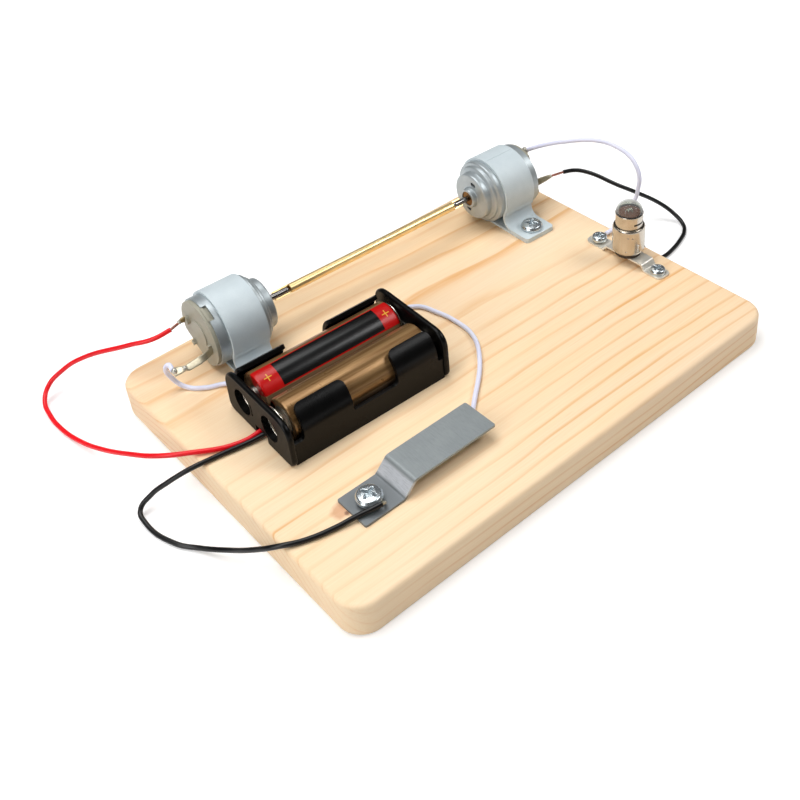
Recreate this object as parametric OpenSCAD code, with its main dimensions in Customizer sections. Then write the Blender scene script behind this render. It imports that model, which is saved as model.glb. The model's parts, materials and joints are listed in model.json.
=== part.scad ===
// Demonstration motor generator: one small motor drives a second one, which lights a lamp.
// Millimetres. The origin is the centre of the board's underside, +X along the drive shaft,
// +Y towards the motors and +Z up.

/* [Board] */
// Length of the board, along the drive shaft
board_l = 170; // [166:1:220]
// Width of the board
board_w = 125; // [122:1:160]
// Thickness of the board
board_t = 12; // [11:0.5:25]
// Corner radius of the board in plan
board_corner_r = 8; // [4:0.5:12]
// Radius of the eased edges
board_edge_r = 1.5; // [0.5:0.25:2.5]

/* [Drive line] */
// Distance of the drive shaft from the middle of the board
drive_y = 44.7; // [44.2:0.1:45.6]
// Turn of the whole drive line in plan, as it was screwed down by hand
drive_turn = -2; // [-2.5:0.1:-1]
// Shaft diameter of both motors
shaft_d = 2; // [1.5:0.1:2.3]
// Outer diameter of the brass coupling tube
tube_d = 3.2; // [2.8:0.1:4]
// Left end of the coupling tube along the drive line
tube_left = -33; // [-34:0.5:-30]
// Right end of the coupling tube along the drive line
tube_right = 46.5; // [44:0.5:48]
// Length of the tube's left end that is cut half open
tube_left_cut = 6; // [3:0.5:7]
// Length of the tube's right end that is cut half open
tube_right_cut = 4; // [2:0.5:5]
// Angle of the cut-away half about the shaft
tube_cut_turn = 130; // [0:5:355]

/* [Motors] */
// Outer diameter of the steel can
can_d = 23.4; // [22.4:0.1:24.4]
// Wall of the steel can
can_wall = 0.8; // [0.5:0.05:1.1]
// Length from the rim of the can to its shoulder
can_l = 18.2; // [17.6:0.1:18.8]
// Diameter of the raised front
nose_d = 17.4; // [16:0.1:18.4]
// Length of the raised front beyond the shoulder
nose_l = 4.2; // [3.6:0.1:5]
// Outer diameter of the boss round the front bush
boss_d = 7.8; // [7:0.1:8.6]
// Length of that boss
boss_l = 1.8; // [1.2:0.1:2.2]
// Diameter of the front bush
front_bush_d = 5.4; // [4.6:0.1:6]
// Diameter of the plastic end cap
cap_d = 22.4; // [22.2:0.1:22.6]
// Height that the end cap stands beyond the rim
cap_lip = 1.2; // [0.8:0.1:1.8]
// Depth of the end cap inside the can
cap_spigot = 1.8; // [1.4:0.1:2.2]
// Distance of the flat on the end cap from its centre
cap_flat = 8.7; // [8.4:0.1:9.6]
// Distance of the terminals from the shaft
terminal_r = 7.5; // [7:0.1:7.8]
// Width of the terminal strips
terminal_w = 2.2; // [1.6:0.1:2.6]
// Thickness of the terminal strips
terminal_t = 0.4; // [0.3:0.05:0.6]
// Radius of the armature's pole shoes
armature_r = 8.3; // [7.6:0.1:8.4]
// Length of the armature's stack
armature_l = 8; // [6:0.5:9]
// Diameter of the commutator
commutator_d = 4.4; // [3.8:0.1:5]

/* [Clamps] */
// Width of the sheet-metal clamps
clamp_w = 13.2; // [10:0.1:14]
// Thickness of the sheet
clamp_t = 0.9; // [0.6:0.05:1.1]
// Reach of the clamp's foot from the shaft axis
clamp_reach = 22.8; // [22:0.1:24]
// Inner radius of the bend above the foot
clamp_bend_r = 3.5; // [2.5:0.1:4]
// Distance of the clamp's screw from the shaft axis
clamp_screw_v = 18; // [17.8:0.1:18.4]
// Corner radius of the clamp's foot
clamp_tip_r = 1.5; // [1:0.1:2.5]
// Head diameter of the large screws
screw_head_d = 7.7; // [6.5:0.1:8]
// Head height of the large screws
screw_head_h = 2.2; // [1.8:0.1:2.4]
// Shank diameter of the large screws
screw_d = 3.2; // [2.5:0.1:3.6]
// Length of the shank of the large screws
screw_l = 9; // [6:0.5:9.5]

/* [Battery holder] */
// Length of the holder over its end plates
holder_l = 58; // [57.6:0.1:59]
// Width over the end plates
holder_w = 35.8; // [34.6:0.1:37]
// Height of the end plates
holder_h = 17; // [15.5:0.5:18]
// Thickness of the end plates
plate_t = 2; // [1.6:0.1:2.2]
// Thickness of the side walls and the clips
wall_t = 1.5; // [1.2:0.1:1.7]
// Thickness of the floor
floor_t = 1.5; // [1:0.1:2]
// Height of the side walls between the clips
sill_h = 7; // [5:0.5:8]
// Reach of the clips from the cells' axis, as an angle from the horizontal
clip_turn = 55; // [40:1:62]
// Half-width of the opening between the clips
clip_inner = 8.2; // [6:0.2:12]
// Gap between the clips and the end plates
clip_end_gap = 2; // [1:0.25:3]
// Diameter of the holes in the left end plate
plate_hole_d = 8; // [7:0.1:8.6]
// Spacing of the two cells
cell_pitch = 15; // [14.8:0.1:15.2]
// Diameter of one cell
cell_d = 14.2; // [13.8:0.1:14.4]
// Length of one cell over its nub
cell_l = 50.5; // [50:0.1:50.8]
// Diameter of the nub
nub_d = 5.5; // [5:0.1:6]
// Height of the nub
nub_h = 1; // [0.8:0.1:1.3]

/* [Contact springs] */
// Wire diameter of the contact springs
spring_wire = 0.6; // [0.5:0.05:0.7]
// Radius of the large end of the long springs
spring_r = 5.8; // [5.2:0.1:6]
// Radius of their small end
spring_tip_r = 2.4; // [2.2:0.1:2.6]
// Curls in a long spring
spring_turns = 3.5; // [3:0.5:3.5]
// Radius of the large end of the short spirals that meet the nubs
spiral_r = 4.7; // [4.6:0.05:5]
// Radius of their small end
spiral_tip_r = 2; // [1.6:0.1:2.2]
// Curls in a short spiral
spiral_turns = 2.5; // [2:0.5:2.5]

/* [Switch] */
// Width of the switch strip
lever_w = 13; // [10:0.5:15]
// Thickness of the switch strip
lever_t = 0.8; // [0.6:0.05:1]
// Left end of the foot
lever_left = -65; // [-66:0.1:-64]
// Bend between the foot and the riser
lever_bend = -51.4; // [-52:0.1:-50]
// Right end of the arm
lever_right = -17.2; // [-19:0.1:-15]
// Middle of the strip across the board
lever_y = -35.7; // [-40:0.1:-32]
// Height of the arm above the foot
lever_rise = 4.5; // [4:0.1:5.5]
// Length of the sloping riser along the board
riser_l = 4.4; // [3.6:0.1:5.5]
// Place of the screw through the foot
lever_screw_x = -58.6; // [-59.6:0.1:-57.6]
// Place of the contact screw under the arm
contact_x = -23; // [-25:0.1:-22]

/* [Lamp] */
// Place of the lamp along the board
lamp_x = 75.3; // [74:0.1:77]
// Place of the lamp across the board
lamp_y = -10.9; // [-12:0.1:-10]
// Length of the lamp's bracket
bracket_l = 32.6; // [30:0.1:34]
// Width of the lamp's bracket
bracket_w = 6; // [5:0.1:7]
// Thickness of the lamp's bracket
bracket_t = 0.6; // [0.4:0.05:0.8]
// Height of the bracket's raised middle above its feet
bracket_rise = 2; // [1.8:0.1:3]
// Half-length of the raised middle
bracket_mid = 8.4; // [7:0.1:9]
// Distance of the bracket's screws from the lamp
bracket_screw = 13.3; // [12.8:0.1:13.6]
// Head diameter of the bracket's screws
small_head_d = 5; // [4.4:0.1:5.6]
// Outer diameter of the socket
socket_d = 10.2; // [10:0.05:10.5]
// Height of the socket
socket_h = 9.7; // [9:0.1:11]
// Wall of the socket
socket_wall = 0.35; // [0.3:0.05:0.4]
// Height of the insulating disc under the socket
disc_h = 1.4; // [1:0.1:2]
// Diameter of the bulb's screw cap
bulb_d = 9.3; // [9.2:0.05:9.5]
// Diameter of the glass
glass_d = 8.8; // [8:0.1:9]
// Height of the bulb's cap
bulb_cap_h = 12.5; // [11:0.1:13]
// Height of the glass above the cap
glass_h = 4.3; // [4:0.1:6]

/* [Wires] */
// Diameter of the insulated wires
wire_d = 1.3; // [1:0.05:1.4]
// Diameter of the bared ends
bare_d = 0.9; // [0.6:0.05:1]
// Diameter of the bared end under the lamp's screw
small_bare_d = 0.7; // [0.5:0.05:0.8]

/* [Clearances] */
// Radial clearance of a shaft in its bush
run_gap = 0.04; // [0.02:0.01:0.08]
// Clearance between pieces that are pushed or laid together
seat_gap = 0.05; // [0.02:0.01:0.1]
// Clearance between a brush and the commutator
brush_gap = 0.1; // [0.05:0.01:0.2]
// Clearance in the bend where the switch arm flexes
flex_gap = 0.12; // [0.1:0.01:0.2]

/* [Hidden] */
$fn = 48;
eps = 0.02;
loop_h = bare_d + 2 * seat_gap;
small_screw_d = 2.2;
small_screw_l = 8;
small_head_h = 1.9;
small_loop_h = small_bare_d + 2 * seat_gap;

// Colours
wood = "burlywood";
zinc = "silver";
steel = "lightslategray";
bright = "gainsboro";
brass = "goldenrod";
copper = "peru";
black = [0.09, 0.09, 0.09];
grey_plastic = [0.66, 0.65, 0.6];

// Drive line, in its own frame: u along the shaft, v across and w up, from the shaft's middle
axis_z = board_t + clamp_t + can_d / 2;
motor_u = -60.5;
generator_u = 74.8;
motor_clock = 17.5;
generator_clock = 99;
motor_strap_s = 11.3;
generator_strap_s = 10.7;
clamp_centres = [motor_u + motor_strap_s, generator_u - generator_strap_s];

// Places along a motor, from the outer face of its end cap
rim_s = cap_lip;
shoulder_s = rim_s + can_l;
front_s = shoulder_s + nose_l;
boss_s = front_s + boss_l;
can_r = can_d / 2;
bore_r = can_r - can_wall;
nose_r = nose_d / 2;
spigot_s = rim_s + cap_spigot;
shaft_r = shaft_d / 2;
shaft_back_s = rim_s - 0.2;
tip_gap = 0.3;
motor_reach = tube_left + tube_left_cut - tip_gap - (motor_u + boss_s);
generator_reach = generator_u - boss_s - (tube_right - tube_right_cut + tip_gap);
commutator_s = spigot_s + 0.7;
commutator_l = 2.3;
stack_s = 8;
neck_w = 2.6;
coil_end = 1.4;
rear_bush_d = shaft_d + 2.4;
window_turn = 99.5;
window_span = 28;
window_l = 1.7;
flat_turn = -77.5;
slot_turn = -24;
slot_r = 5.4;
slot_w = 1.4;
slot_l = 2.4;
magnet_s = stack_s - 1.5;
magnet_l = shoulder_s - can_wall - 1.1 - magnet_s;
magnet_r = armature_r + 0.6;
magnet_span = 120;

// Battery holder, in its own frame on the board
holder_x = -37.3;
holder_y = 5.7;
holder_turn = -2;
bay = holder_l / 2 - plate_t;
wall_y = cell_pitch / 2 + cell_d / 2 + 0.6 + wall_t;
cell_z = floor_t + cell_d / 2 + seat_gap;
clip_r = wall_y - cell_pitch / 2;
link_t = 0.3;
back_nub_gap = 1.5;
front_nub_gap = link_t + spring_wire + seat_gap;
cell_body = cell_l - nub_h;
back_cell_x = -bay + back_nub_gap + nub_h + cell_body / 2;
front_cell_x = bay - front_nub_gap - nub_h - cell_body / 2;

// Switch
foot_z = board_t + lever_t / 2;
arm_z = foot_z + lever_rise;
riser_turn = atan2(lever_rise, riser_l);
mitre = tan(riser_turn / 2) * lever_t / 2;
flex_at = 0.8;
lever_tip_r = 1.2;

// Lamp
bracket_top = board_t + bracket_rise + bracket_t;
socket_z = bracket_top + disc_h;
contact_top = socket_z + socket_wall + 0.9;
bulb_z = contact_top + seat_gap;
rim_z = bulb_z + 1.4 + bulb_cap_h;
tag_t = 0.4;
tag_z = bracket_top - bracket_t - 0.5 - tag_t;
tag_turn = 34;
disc_r = 4.5;
hub_r = 2;
contact_r = 0.9;
rivet_r = 0.6;
rivet_y = 3.3;
collar_r = 3.9;

// Paths of the hand-bent terminals, in the motor's own frame
motor_tab_l = 2.2;
motor_strip = [[-8, -2.3, -0.5], [-9.4, -2.1, -10.1], [-9.5, -1, -14.5]];
generator_tab_l = 4.2;
generator_strip = [[1.4, -7.4, -2.15], [5.6, -3.6, -4.2], [8.4, -1.5, -7.2]];

// Routes of the wires, chosen by hand
red_start = [-62.8, 54, 26.8];
red_route = [
    [-66.5, 54, 25.7], [-72, 56, 24], [-78, 62, 21.5], [-90, 78, 13], [-95, 82.5, 8.5],
    [-100, 84, 4.5], [-103.5, 81, 2], [-105, 74.5, 1], [-105, 65.5, 0.8], [-103.5, 56, 1.5],
    [-101, 44.5, 4.5], [-97, 31.5, 9], [-93, 22.5, 12], [-86, 15.5, 13.2], [-72.5, 8.4, 12.9],
    [-66, 7.2, 14], [-63.6, 7.6, 14.4]
];
black_switch_route = [
    [-63.7, 5.2, 14.4], [-66.5, 5.8, 13.5], [-80, 8.5, 12.9], [-88, 10, 12.6], [-95, 13.5, 9],
    [-99.5, 16.5, 5], [-103.5, 16.5, 2], [-104.5, 12.5, 0.9], [-102, -0.5, 0.7], [-98, -7, 1.2],
    [-93.5, -15, 3.5], [-90, -24, 8.5], [-85.5, -31.5, 12.8], [-79.5, -34.5, 13],
    [-69, -37, 13.2], [-64, -38.8, 13.5], [-60.5, -39.9, 13.47]
];
white_switch_route = [
    [-75.3, 38.1, 24], [-75, 42, 24], [-76, 43.5, 22.5], [-74.5, 44.5, 16.5], [-72, 42, 13],
    [-67, 36.5, 12.8], [-61.8, 33.5, 13], [-58.5, 28, 14.2], [-54.5, 24.6, 14.7],
    [-49.8, 23.8, 14.6], [-42.3, 24.6, 14.5], [-37, 25.5, 12.9], [-23, 26, 12.8],
    [-8, 24.5, 12.8], [5, 20.5, 12.8], [8, 13, 12.8], [9.2, 5, 12.8], [8.5, -3.5, 12.8],
    [3.5, -12.5, 12.8], [-13, -28, 12.8], [-19, -33, 12.68]
];
white_lamp_route = [
    [79.3, 42.8, 32.7], [80.4, 39.5, 34.6], [86, 28.5, 38], [90, 24, 39], [93.5, 19, 39],
    [95, 13, 38.5], [95.5, 7.5, 37], [95.4, 4, 34.5], [95, 1.7, 30.5], [94.6, 1.7, 26],
    [94.2, 2.6, 21], [91.5, 3.2, 17], [86.5, 2.8, 15], [82.6, 2.8, 13.6], [79.4, 3.1, 13.15]
];
black_start = [82, 33, 23.5];
black_lamp_route = [
    [86.7, 31, 24], [90, 29.2, 24], [93.6, 26.5, 23], [102, 17, 17], [107, 13, 13.5],
    [115.5, 7.2, 6.5], [118, 3.2, 3], [117.5, -1.5, 1], [114, -6, 0.8], [108, -9, 0.8],
    [99.5, -12, 2.5], [93, -13, 5], [89, -11, 7.5], [87, -6, 11], [84.6, -4.6, 13.4],
    [82.3, -6.2, 13.4]
];

// Vectors and swept tubes
function unit(v) = v / norm(v);
function place(p, origin, turn) = [
    origin[0] + p[0] * cos(turn) - p[1] * sin(turn),
    origin[1] + p[0] * sin(turn) + p[1] * cos(turn),
    origin[2] + p[2]
];
function tangents(path) = [
    for (i = [0 : len(path) - 1])
        unit(path[min(i + 1, len(path) - 1)] - path[max(i - 1, 0)])
];
function flatten_to(v, t) = unit(v - t * (v * t));
function side_start(t) = flatten_to(abs(t[2]) > 0.8 ? [1, 0, 0] : [0, 0, 1], t);
function carried(ts, i) =
    i == 0 ? [side_start(ts[0])] :
    let (before = carried(ts, i - 1))
    concat(before, [flatten_to(before[i - 1], ts[i])]);

// A round tube along a path, carried without twist, with triangles only
module swept_tube(path, r, sides) {
    ts = tangents(path);
    n = len(path);
    ns = carried(ts, n - 1);
    rings = [
        for (i = [0 : n - 1])
            for (k = [0 : sides - 1])
                let (a = 360 * k / sides)
                path[i] + r * (ns[i] * cos(a) + cross(ts[i], ns[i]) * sin(a))
    ];
    last = (n - 1) * sides;
    start_cap = [for (k = [1 : sides - 2]) [0, k, k + 1]];
    end_cap = [for (k = [1 : sides - 2]) [last, last + k + 1, last + k]];
    walls = [
        for (i = [0 : n - 2])
            for (k = [0 : sides - 1])
                for (half = [0, 1])
                    let (a = i * sides + k, b = i * sides + (k + 1) % sides)
                    half == 0 ? [a, a + sides, b + sides] : [a, b + sides, b]
    ];
    polyhedron(rings, concat(start_cap, end_cap, walls));
}

// A conical coil about a line along X, from radius r0 at x0 to radius r1 at x1
function coil_path(r0, r1, x0, x1, turns, rings = 8) = [
    for (i = [0 : turns * rings])
        let (f = i / (turns * rings), r = r0 + (r1 - r0) * f, a = -90 + 360 * turns * f)
        [x0 + (x1 - x0) * f, r * cos(a), r * sin(a)]
];
function least_gap(path, wire, rings = 8) = min([
    for (i = [0 : len(path) - 1 - rings / 2])
        for (j = [i + rings / 2 : len(path) - 1])
            norm(path[i] - path[j]) - wire
]);

// Frames that pieces are modelled in
module drive_frame() translate([0, drive_y, axis_z]) rotate(drive_turn) children();
module along_shaft() drive_frame() rotate([90, 0, 90]) children();
module motor_side() along_shaft() translate([0, 0, motor_u]) children();
module generator_side()
    drive_frame() translate([generator_u, 0, 0]) rotate([90, 0, -90]) children();
module holder_frame()
    translate([holder_x, holder_y, board_t]) rotate(holder_turn) children();
module lamp_frame() translate([lamp_x, lamp_y, 0]) children();

function in_holder(p) = place(p, [holder_x, holder_y, board_t], holder_turn);

// A turned ring, or part of one
module ring(r_in, r_out, l, turn = 360)
    rotate_extrude(angle = turn) translate([r_in, 0]) square([r_out - r_in, l]);

// A flat strip between two points, its width standing as near to upright as it can
module strip_between(a, b, w, t) {
    d = b - a;
    yaw = atan2(d[1], d[0]);
    pitch = -atan2(d[2], norm([d[0], d[1]]));
    translate(a) rotate([0, pitch, yaw]) translate([0, -t / 2, -w / 2]) cube([norm(d), t, w]);
}

// A round rod between two points
module rod_between(a, b, r) {
    d = b - a;
    translate(a)
        rotate([0, acos(d[2] / norm(d)), atan2(d[1], d[0])])
            cylinder(r = r, h = norm(d), $fn = 24);
}

// What is cut away to round a corner that points along -X and +Y
module corner_cutter(r, h) {
    translate([0, 0, -h / 2])
        difference() {
            translate([-eps, -r, 0]) cube([r + eps, r + eps, h]);
            translate([r, -r, -eps]) cylinder(r = r, h = h + 2 * eps);
        }
}

// A screw with a domed head and a cross recess, the underside of its head at z = 0
module pan_screw(head_d, head_h, d, l) {
    dome_drop = head_h * 0.62;
    dome_r = (pow(head_d / 2, 2) + pow(dome_drop, 2)) / (2 * dome_drop);
    recess = head_d * 0.52;
    slot = head_d * 0.13;
    difference() {
        union() {
            intersection() {
                cylinder(d = head_d, h = head_h);
                translate([0, 0, head_h - dome_r]) sphere(dome_r);
            }
            translate([0, 0, -l]) cylinder(d = d, h = l + eps);
        }
        for (a = [20, 110])
            rotate(a)
                translate([-recess / 2, -slot / 2, head_h * 0.4]) cube([recess, slot, head_h]);
    }
}

// Board
module board_puck() {
    inset = board_corner_r - board_edge_r;
    quarter = [0 : 22.5 : 90];
    rotate_extrude($fn = 32)
        polygon(concat(
            [[0, 0]],
            [for (a = quarter) [inset + board_edge_r * sin(a), board_edge_r * (1 - cos(a))]],
            [for (a = quarter)
                [inset + board_edge_r * cos(a), board_t - board_edge_r * (1 - sin(a))]],
            [[0, board_t]]
        ));
}

module pilot_hole(d, depth) translate([0, 0, board_t - depth]) cylinder(d = d, h = depth + 1);

module base_board() {
    pilot_d = screw_d + 2 * seat_gap;
    small_pilot_d = small_screw_d + 2 * seat_gap;
    color(wood)
    difference() {
        hull()
            for (x = [-1, 1])
                for (y = [-1, 1])
                    translate([
                        x * (board_l / 2 - board_corner_r),
                        y * (board_w / 2 - board_corner_r),
                        0
                    ])
                        board_puck();
        for (u = clamp_centres)
            translate([0, drive_y, 0])
                rotate(drive_turn)
                    translate([u, -clamp_screw_v, 0])
                        pilot_hole(pilot_d, screw_l - 2 * clamp_t + seat_gap);
        translate([lever_screw_x, lever_y, 0])
            pilot_hole(pilot_d, screw_l - lever_t - loop_h + seat_gap);
        translate([contact_x, lever_y, 0]) pilot_hole(pilot_d, screw_l - loop_h + seat_gap);
        for (side = [-1, 1])
            translate([lamp_x, lamp_y + side * bracket_screw, 0])
                pilot_hole(small_pilot_d, small_screw_l - bracket_t + seat_gap);
    }
}

// Clamps: the sheet lies on the board, goes round the can and comes back onto its own end
module clamp_sheet() {
    r_mid = can_r + clamp_t / 2;
    bend_mid = clamp_bend_r + clamp_t / 2;
    bend_y = -can_r + clamp_t / 2 + bend_mid;
    bend_x = -sqrt(pow(r_mid + bend_mid, 2) - pow(bend_y, 2));
    leave = atan2(-bend_y, -bend_x);
    hole_d = screw_d + 2 * seat_gap;
    difference() {
        union() {
            rotate(-90) ring(can_r, can_r + clamp_t, clamp_w, 270 + leave);
            translate([bend_x, bend_y])
                rotate(-90) ring(clamp_bend_r, clamp_bend_r + clamp_t, clamp_w, 90 + leave);
            translate([-clamp_reach, -can_r, 0]) cube([clamp_reach + bend_x, clamp_t, clamp_w]);
            translate([-clamp_reach, -can_r - clamp_t, 0]) cube([clamp_reach, clamp_t, clamp_w]);
        }
        translate([-clamp_screw_v, -can_r, clamp_w / 2])
            rotate([90, 0, 0]) cylinder(d = hole_d, h = 4 * clamp_t, center = true);
        for (side = [0, 1])
            translate([-clamp_reach, -can_r, clamp_w / 2])
                mirror([0, 0, side])
                    translate([0, 0, clamp_w / 2])
                        rotate([90, 0, 0]) corner_cutter(clamp_tip_r, 4 * clamp_t);
    }
}
module motor_clamp()
    color(bright) along_shaft() translate([0, 0, clamp_centres[0] - clamp_w / 2]) clamp_sheet();
module generator_clamp()
    color(bright) along_shaft() translate([0, 0, clamp_centres[1] - clamp_w / 2]) clamp_sheet();
module clamp_screws()
    color(steel)
        for (u = clamp_centres)
            translate([0, drive_y, board_t + 2 * clamp_t])
                rotate(drive_turn)
                    translate([u, -clamp_screw_v, 0])
                        pan_screw(screw_head_d, screw_head_h, screw_d, screw_l);

// Motors: every piece is modelled once, along z from the end cap's outer face to the shaft's tip
module can_shell(clock) {
    outer_step_r = can_r - 1.2;
    inner_step_r = nose_r + 0.9;
    boss_r = boss_d / 2;
    bush_r = front_bush_d / 2 + seat_gap;
    shoulder = [
        [-0.9, can_r], [-0.35, can_r - 0.2], [0, can_r - 0.7],
        [0.1, outer_step_r], [0.7, outer_step_r - 0.1],
        [1, inner_step_r + 0.3], [1.3, inner_step_r], [1.7, inner_step_r - 0.2],
        [2.1, nose_r + 0.2], [2.5, nose_r]
    ];
    front = [
        [-0.9, nose_r], [-0.35, nose_r - 0.2], [0, nose_r - 0.8],
        [0, boss_r + 0.6], [0.2, boss_r + 0.15], [0.5, boss_r]
    ];
    outer = concat(
        [[rim_s, can_r]],
        [for (p = shoulder) p + [shoulder_s, 0]],
        [for (p = front) p + [front_s, 0]],
        [[boss_s - 0.25, boss_r], [boss_s, boss_r - 0.25], [boss_s, bush_r]]
    );
    inner = [
        [front_s - can_wall, bush_r],
        [front_s - can_wall, nose_r - can_wall], [shoulder_s, nose_r - can_wall],
        [shoulder_s - can_wall, bore_r], [rim_s, bore_r]
    ];
    rotate(clock)
        difference() {
            rotate_extrude($fn = 64) polygon([for (p = concat(outer, inner)) [p[1], p[0]]]);
            rotate(window_turn - window_span / 2)
                translate([0, 0, rim_s - 1]) ring(bore_r - 1, can_r + 1, window_l + 1, window_span);
            for (a = [0, 180])
                rotate(slot_turn + a)
                    translate([slot_r, 0, front_s - 2])
                        linear_extrude(3)
                            union() {
                                square([slot_w, slot_l - slot_w], center = true);
                                for (end = [-1, 1])
                                    translate([0, end * (slot_l - slot_w) / 2]) circle(d = slot_w);
                            }
        }
}
module motor_can() color(zinc) motor_side() can_shell(motor_clock);
module generator_can() color(zinc) generator_side() can_shell(generator_clock);

// The end cap carries the rear bush, the brushes and the terminals
module cap_moulding(clock) {
    plug_d = 2 * (bore_r - seat_gap);
    bush_hole = rear_bush_d / 2 + seat_gap;
    slit = [terminal_t + 2 * seat_gap, terminal_w + 2 * seat_gap];
    centre_r = 4.6;
    centre_h = 0.35;
    tab_boss_r = 2;
    tab_boss_h = 1.1;
    nub = [1.5, 1.6, 1];
    nub_at = 7.1;
    nub_turn = flat_turn + 9;
    key_turn = 1;
    key_l = 0.9;
    rotate(clock)
        difference() {
            union() {
                difference() {
                    cylinder(d = cap_d, h = cap_lip);
                    rotate(flat_turn)
                        translate([cap_flat, -can_d / 2, -1]) cube([can_d, can_d, cap_lip + 2]);
                }
                translate([0, 0, cap_lip]) cylinder(d = plug_d, h = cap_spigot);
                translate([0, 0, -centre_h]) cylinder(r = centre_r, h = centre_h + eps);
                for (a = [0, 180])
                    rotate(a)
                        intersection() {
                            translate([terminal_r, 0, -tab_boss_h])
                                cylinder(r = tab_boss_r, h = tab_boss_h + eps);
                            translate([-terminal_t, -tab_boss_r - 1, -tab_boss_h - 1])
                                cube([terminal_r, 2 * tab_boss_r + 2, tab_boss_h + 2]);
                        }
                rotate(nub_turn)
                    translate([nub_at, -nub[1] / 2, -nub[2]]) cube([nub[0], nub[1], nub[2] + eps]);
                rotate(window_turn - window_span / 2 + key_turn)
                    translate([0, 0, rim_s - key_l / 2])
                        ring(bore_r - 0.5, can_r - 0.15, key_l, window_span - 2 * key_turn);
            }
            translate([0, 0, shaft_back_s - 0.2]) cylinder(r = bush_hole, h = cap_spigot + 2);
            for (a = [0, 180])
                rotate(a)
                    translate([terminal_r - slit[0] / 2, -slit[1] / 2, -2 * tab_boss_h])
                        cube([slit[0], slit[1], spigot_s + 4 * tab_boss_h]);
        }
}
module motor_end_cap() color(grey_plastic) motor_side() cap_moulding(motor_clock);
module generator_end_cap() color(grey_plastic) generator_side() cap_moulding(generator_clock);

module front_bush()
    color(copper)
        translate([0, 0, front_s - can_wall])
            ring(shaft_r + run_gap, front_bush_d / 2, boss_l + can_wall - 0.3);
module motor_front_bush() motor_side() front_bush();
module generator_front_bush() generator_side() front_bush();

module rear_bush()
    color(copper)
        translate([0, 0, shaft_back_s])
            ring(shaft_r + run_gap, rear_bush_d / 2, spigot_s - shaft_back_s);
module motor_rear_bush() motor_side() rear_bush();
module generator_rear_bush() generator_side() rear_bush();

module magnets(clock)
    color("dimgray")
        rotate(clock)
            for (a = [0, 180])
                rotate(a - magnet_span / 2)
                    translate([0, 0, magnet_s])
                        ring(magnet_r, bore_r - seat_gap, magnet_l, magnet_span);
module motor_magnets() motor_side() magnets(motor_clock);
module generator_magnets() generator_side() magnets(generator_clock);

// Each brush is a leaf from its terminal to a pad beside the commutator
module brushes(clock) {
    pad_t = 0.8;
    leaf_t = 0.3;
    pad_x = commutator_d / 2 + brush_gap;
    leaf_w = commutator_l - 0.4;
    z_mid = commutator_s + commutator_l / 2;
    foot = [0, terminal_r - terminal_t / 2 - leaf_t / 2 - seat_gap, z_mid];
    color(copper)
        rotate(clock - 90)
            for (a = [0, 180])
                rotate(a) {
                    strip_between([pad_x + pad_t + leaf_t / 2, -0.8, z_mid], foot, leaf_w, leaf_t);
                    translate([pad_x, -0.8, z_mid - leaf_w / 2]) cube([pad_t + 0.1, 1.6, leaf_w]);
                }
}
module motor_brushes() motor_side() brushes(motor_clock);
module generator_brushes() generator_side() brushes(generator_clock);

// A terminal leaves the cap square and then follows a hand-bent path
module terminal(clock, turn, out_l, bends = []) {
    inside = commutator_s + commutator_l;
    rotate(clock + turn)
        translate([terminal_r - terminal_t / 2, -terminal_w / 2, -out_l])
            cube([terminal_t, terminal_w, inside + out_l]);
    for (i = [1 : 1 : len(bends) - 1])
        strip_between(bends[i - 1], bends[i], terminal_w, terminal_t);
}
module motor_terminals()
    color(bright)
        motor_side() {
            terminal(motor_clock, 0, motor_tab_l);
            terminal(motor_clock, 180, 0.9, motor_strip);
        }
module generator_terminals()
    color(bright)
        generator_side() {
            terminal(generator_clock, 0, generator_tab_l);
            terminal(generator_clock, 180, 1.95, generator_strip);
        }

// Rotor: shaft, armature, windings and commutator turn together
module shaft(reach) {
    tip = 0.8;
    color("slategray")
        rotate_extrude()
            polygon(concat(
                [[0, shaft_back_s + 0.1], [shaft_r, shaft_back_s + 0.1]],
                [for (a = [0 : 22.5 : 90])
                    [shaft_r - tip + tip * cos(a), boss_s + reach - tip + tip * sin(a)]],
                [[0, boss_s + reach]]
            ));
}
module motor_shaft() motor_side() shaft(motor_reach);
module generator_shaft() generator_side() shaft(generator_reach);

// Outline of one plate of the armature's stack: a hub, three necks and three pole shoes
module armature_plate() {
    core_r = 2.8;
    shoe_t = 1.1;
    shoe_span = 96;
    wedge = 2 * armature_r * [cos(shoe_span / 2), sin(shoe_span / 2)];
    difference() {
        union() {
            circle(core_r);
            for (a = [0, 120, 240])
                rotate(a) {
                    translate([0, -neck_w / 2]) square([armature_r - shoe_t / 2, neck_w]);
                    intersection() {
                        difference() {
                            circle(armature_r);
                            circle(armature_r - shoe_t);
                        }
                        polygon([[0, 0], [wedge[0], -wedge[1]], wedge]);
                    }
                }
        }
        circle(shaft_r + run_gap);
    }
}
module armature()
    color("dimgray") translate([0, 0, stack_s]) linear_extrude(armature_l) armature_plate();
module motor_armature() motor_side() armature();
module generator_armature() generator_side() armature();

module windings() {
    coil_in = 3.1;
    coil_out = armature_r - 1.8;
    coil_w = 6;
    neck = neck_w + 2 * seat_gap;
    color(copper)
        for (a = [0, 120, 240])
            rotate(a)
                difference() {
                    translate([coil_in, -coil_w / 2, stack_s - coil_end])
                        cube([coil_out - coil_in, coil_w, armature_l + 2 * coil_end]);
                    translate([0, -neck / 2, stack_s - seat_gap])
                        cube([armature_r, neck, armature_l + 2 * seat_gap]);
                }
}
module motor_windings() motor_side() windings();
module generator_windings() generator_side() windings();

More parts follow.
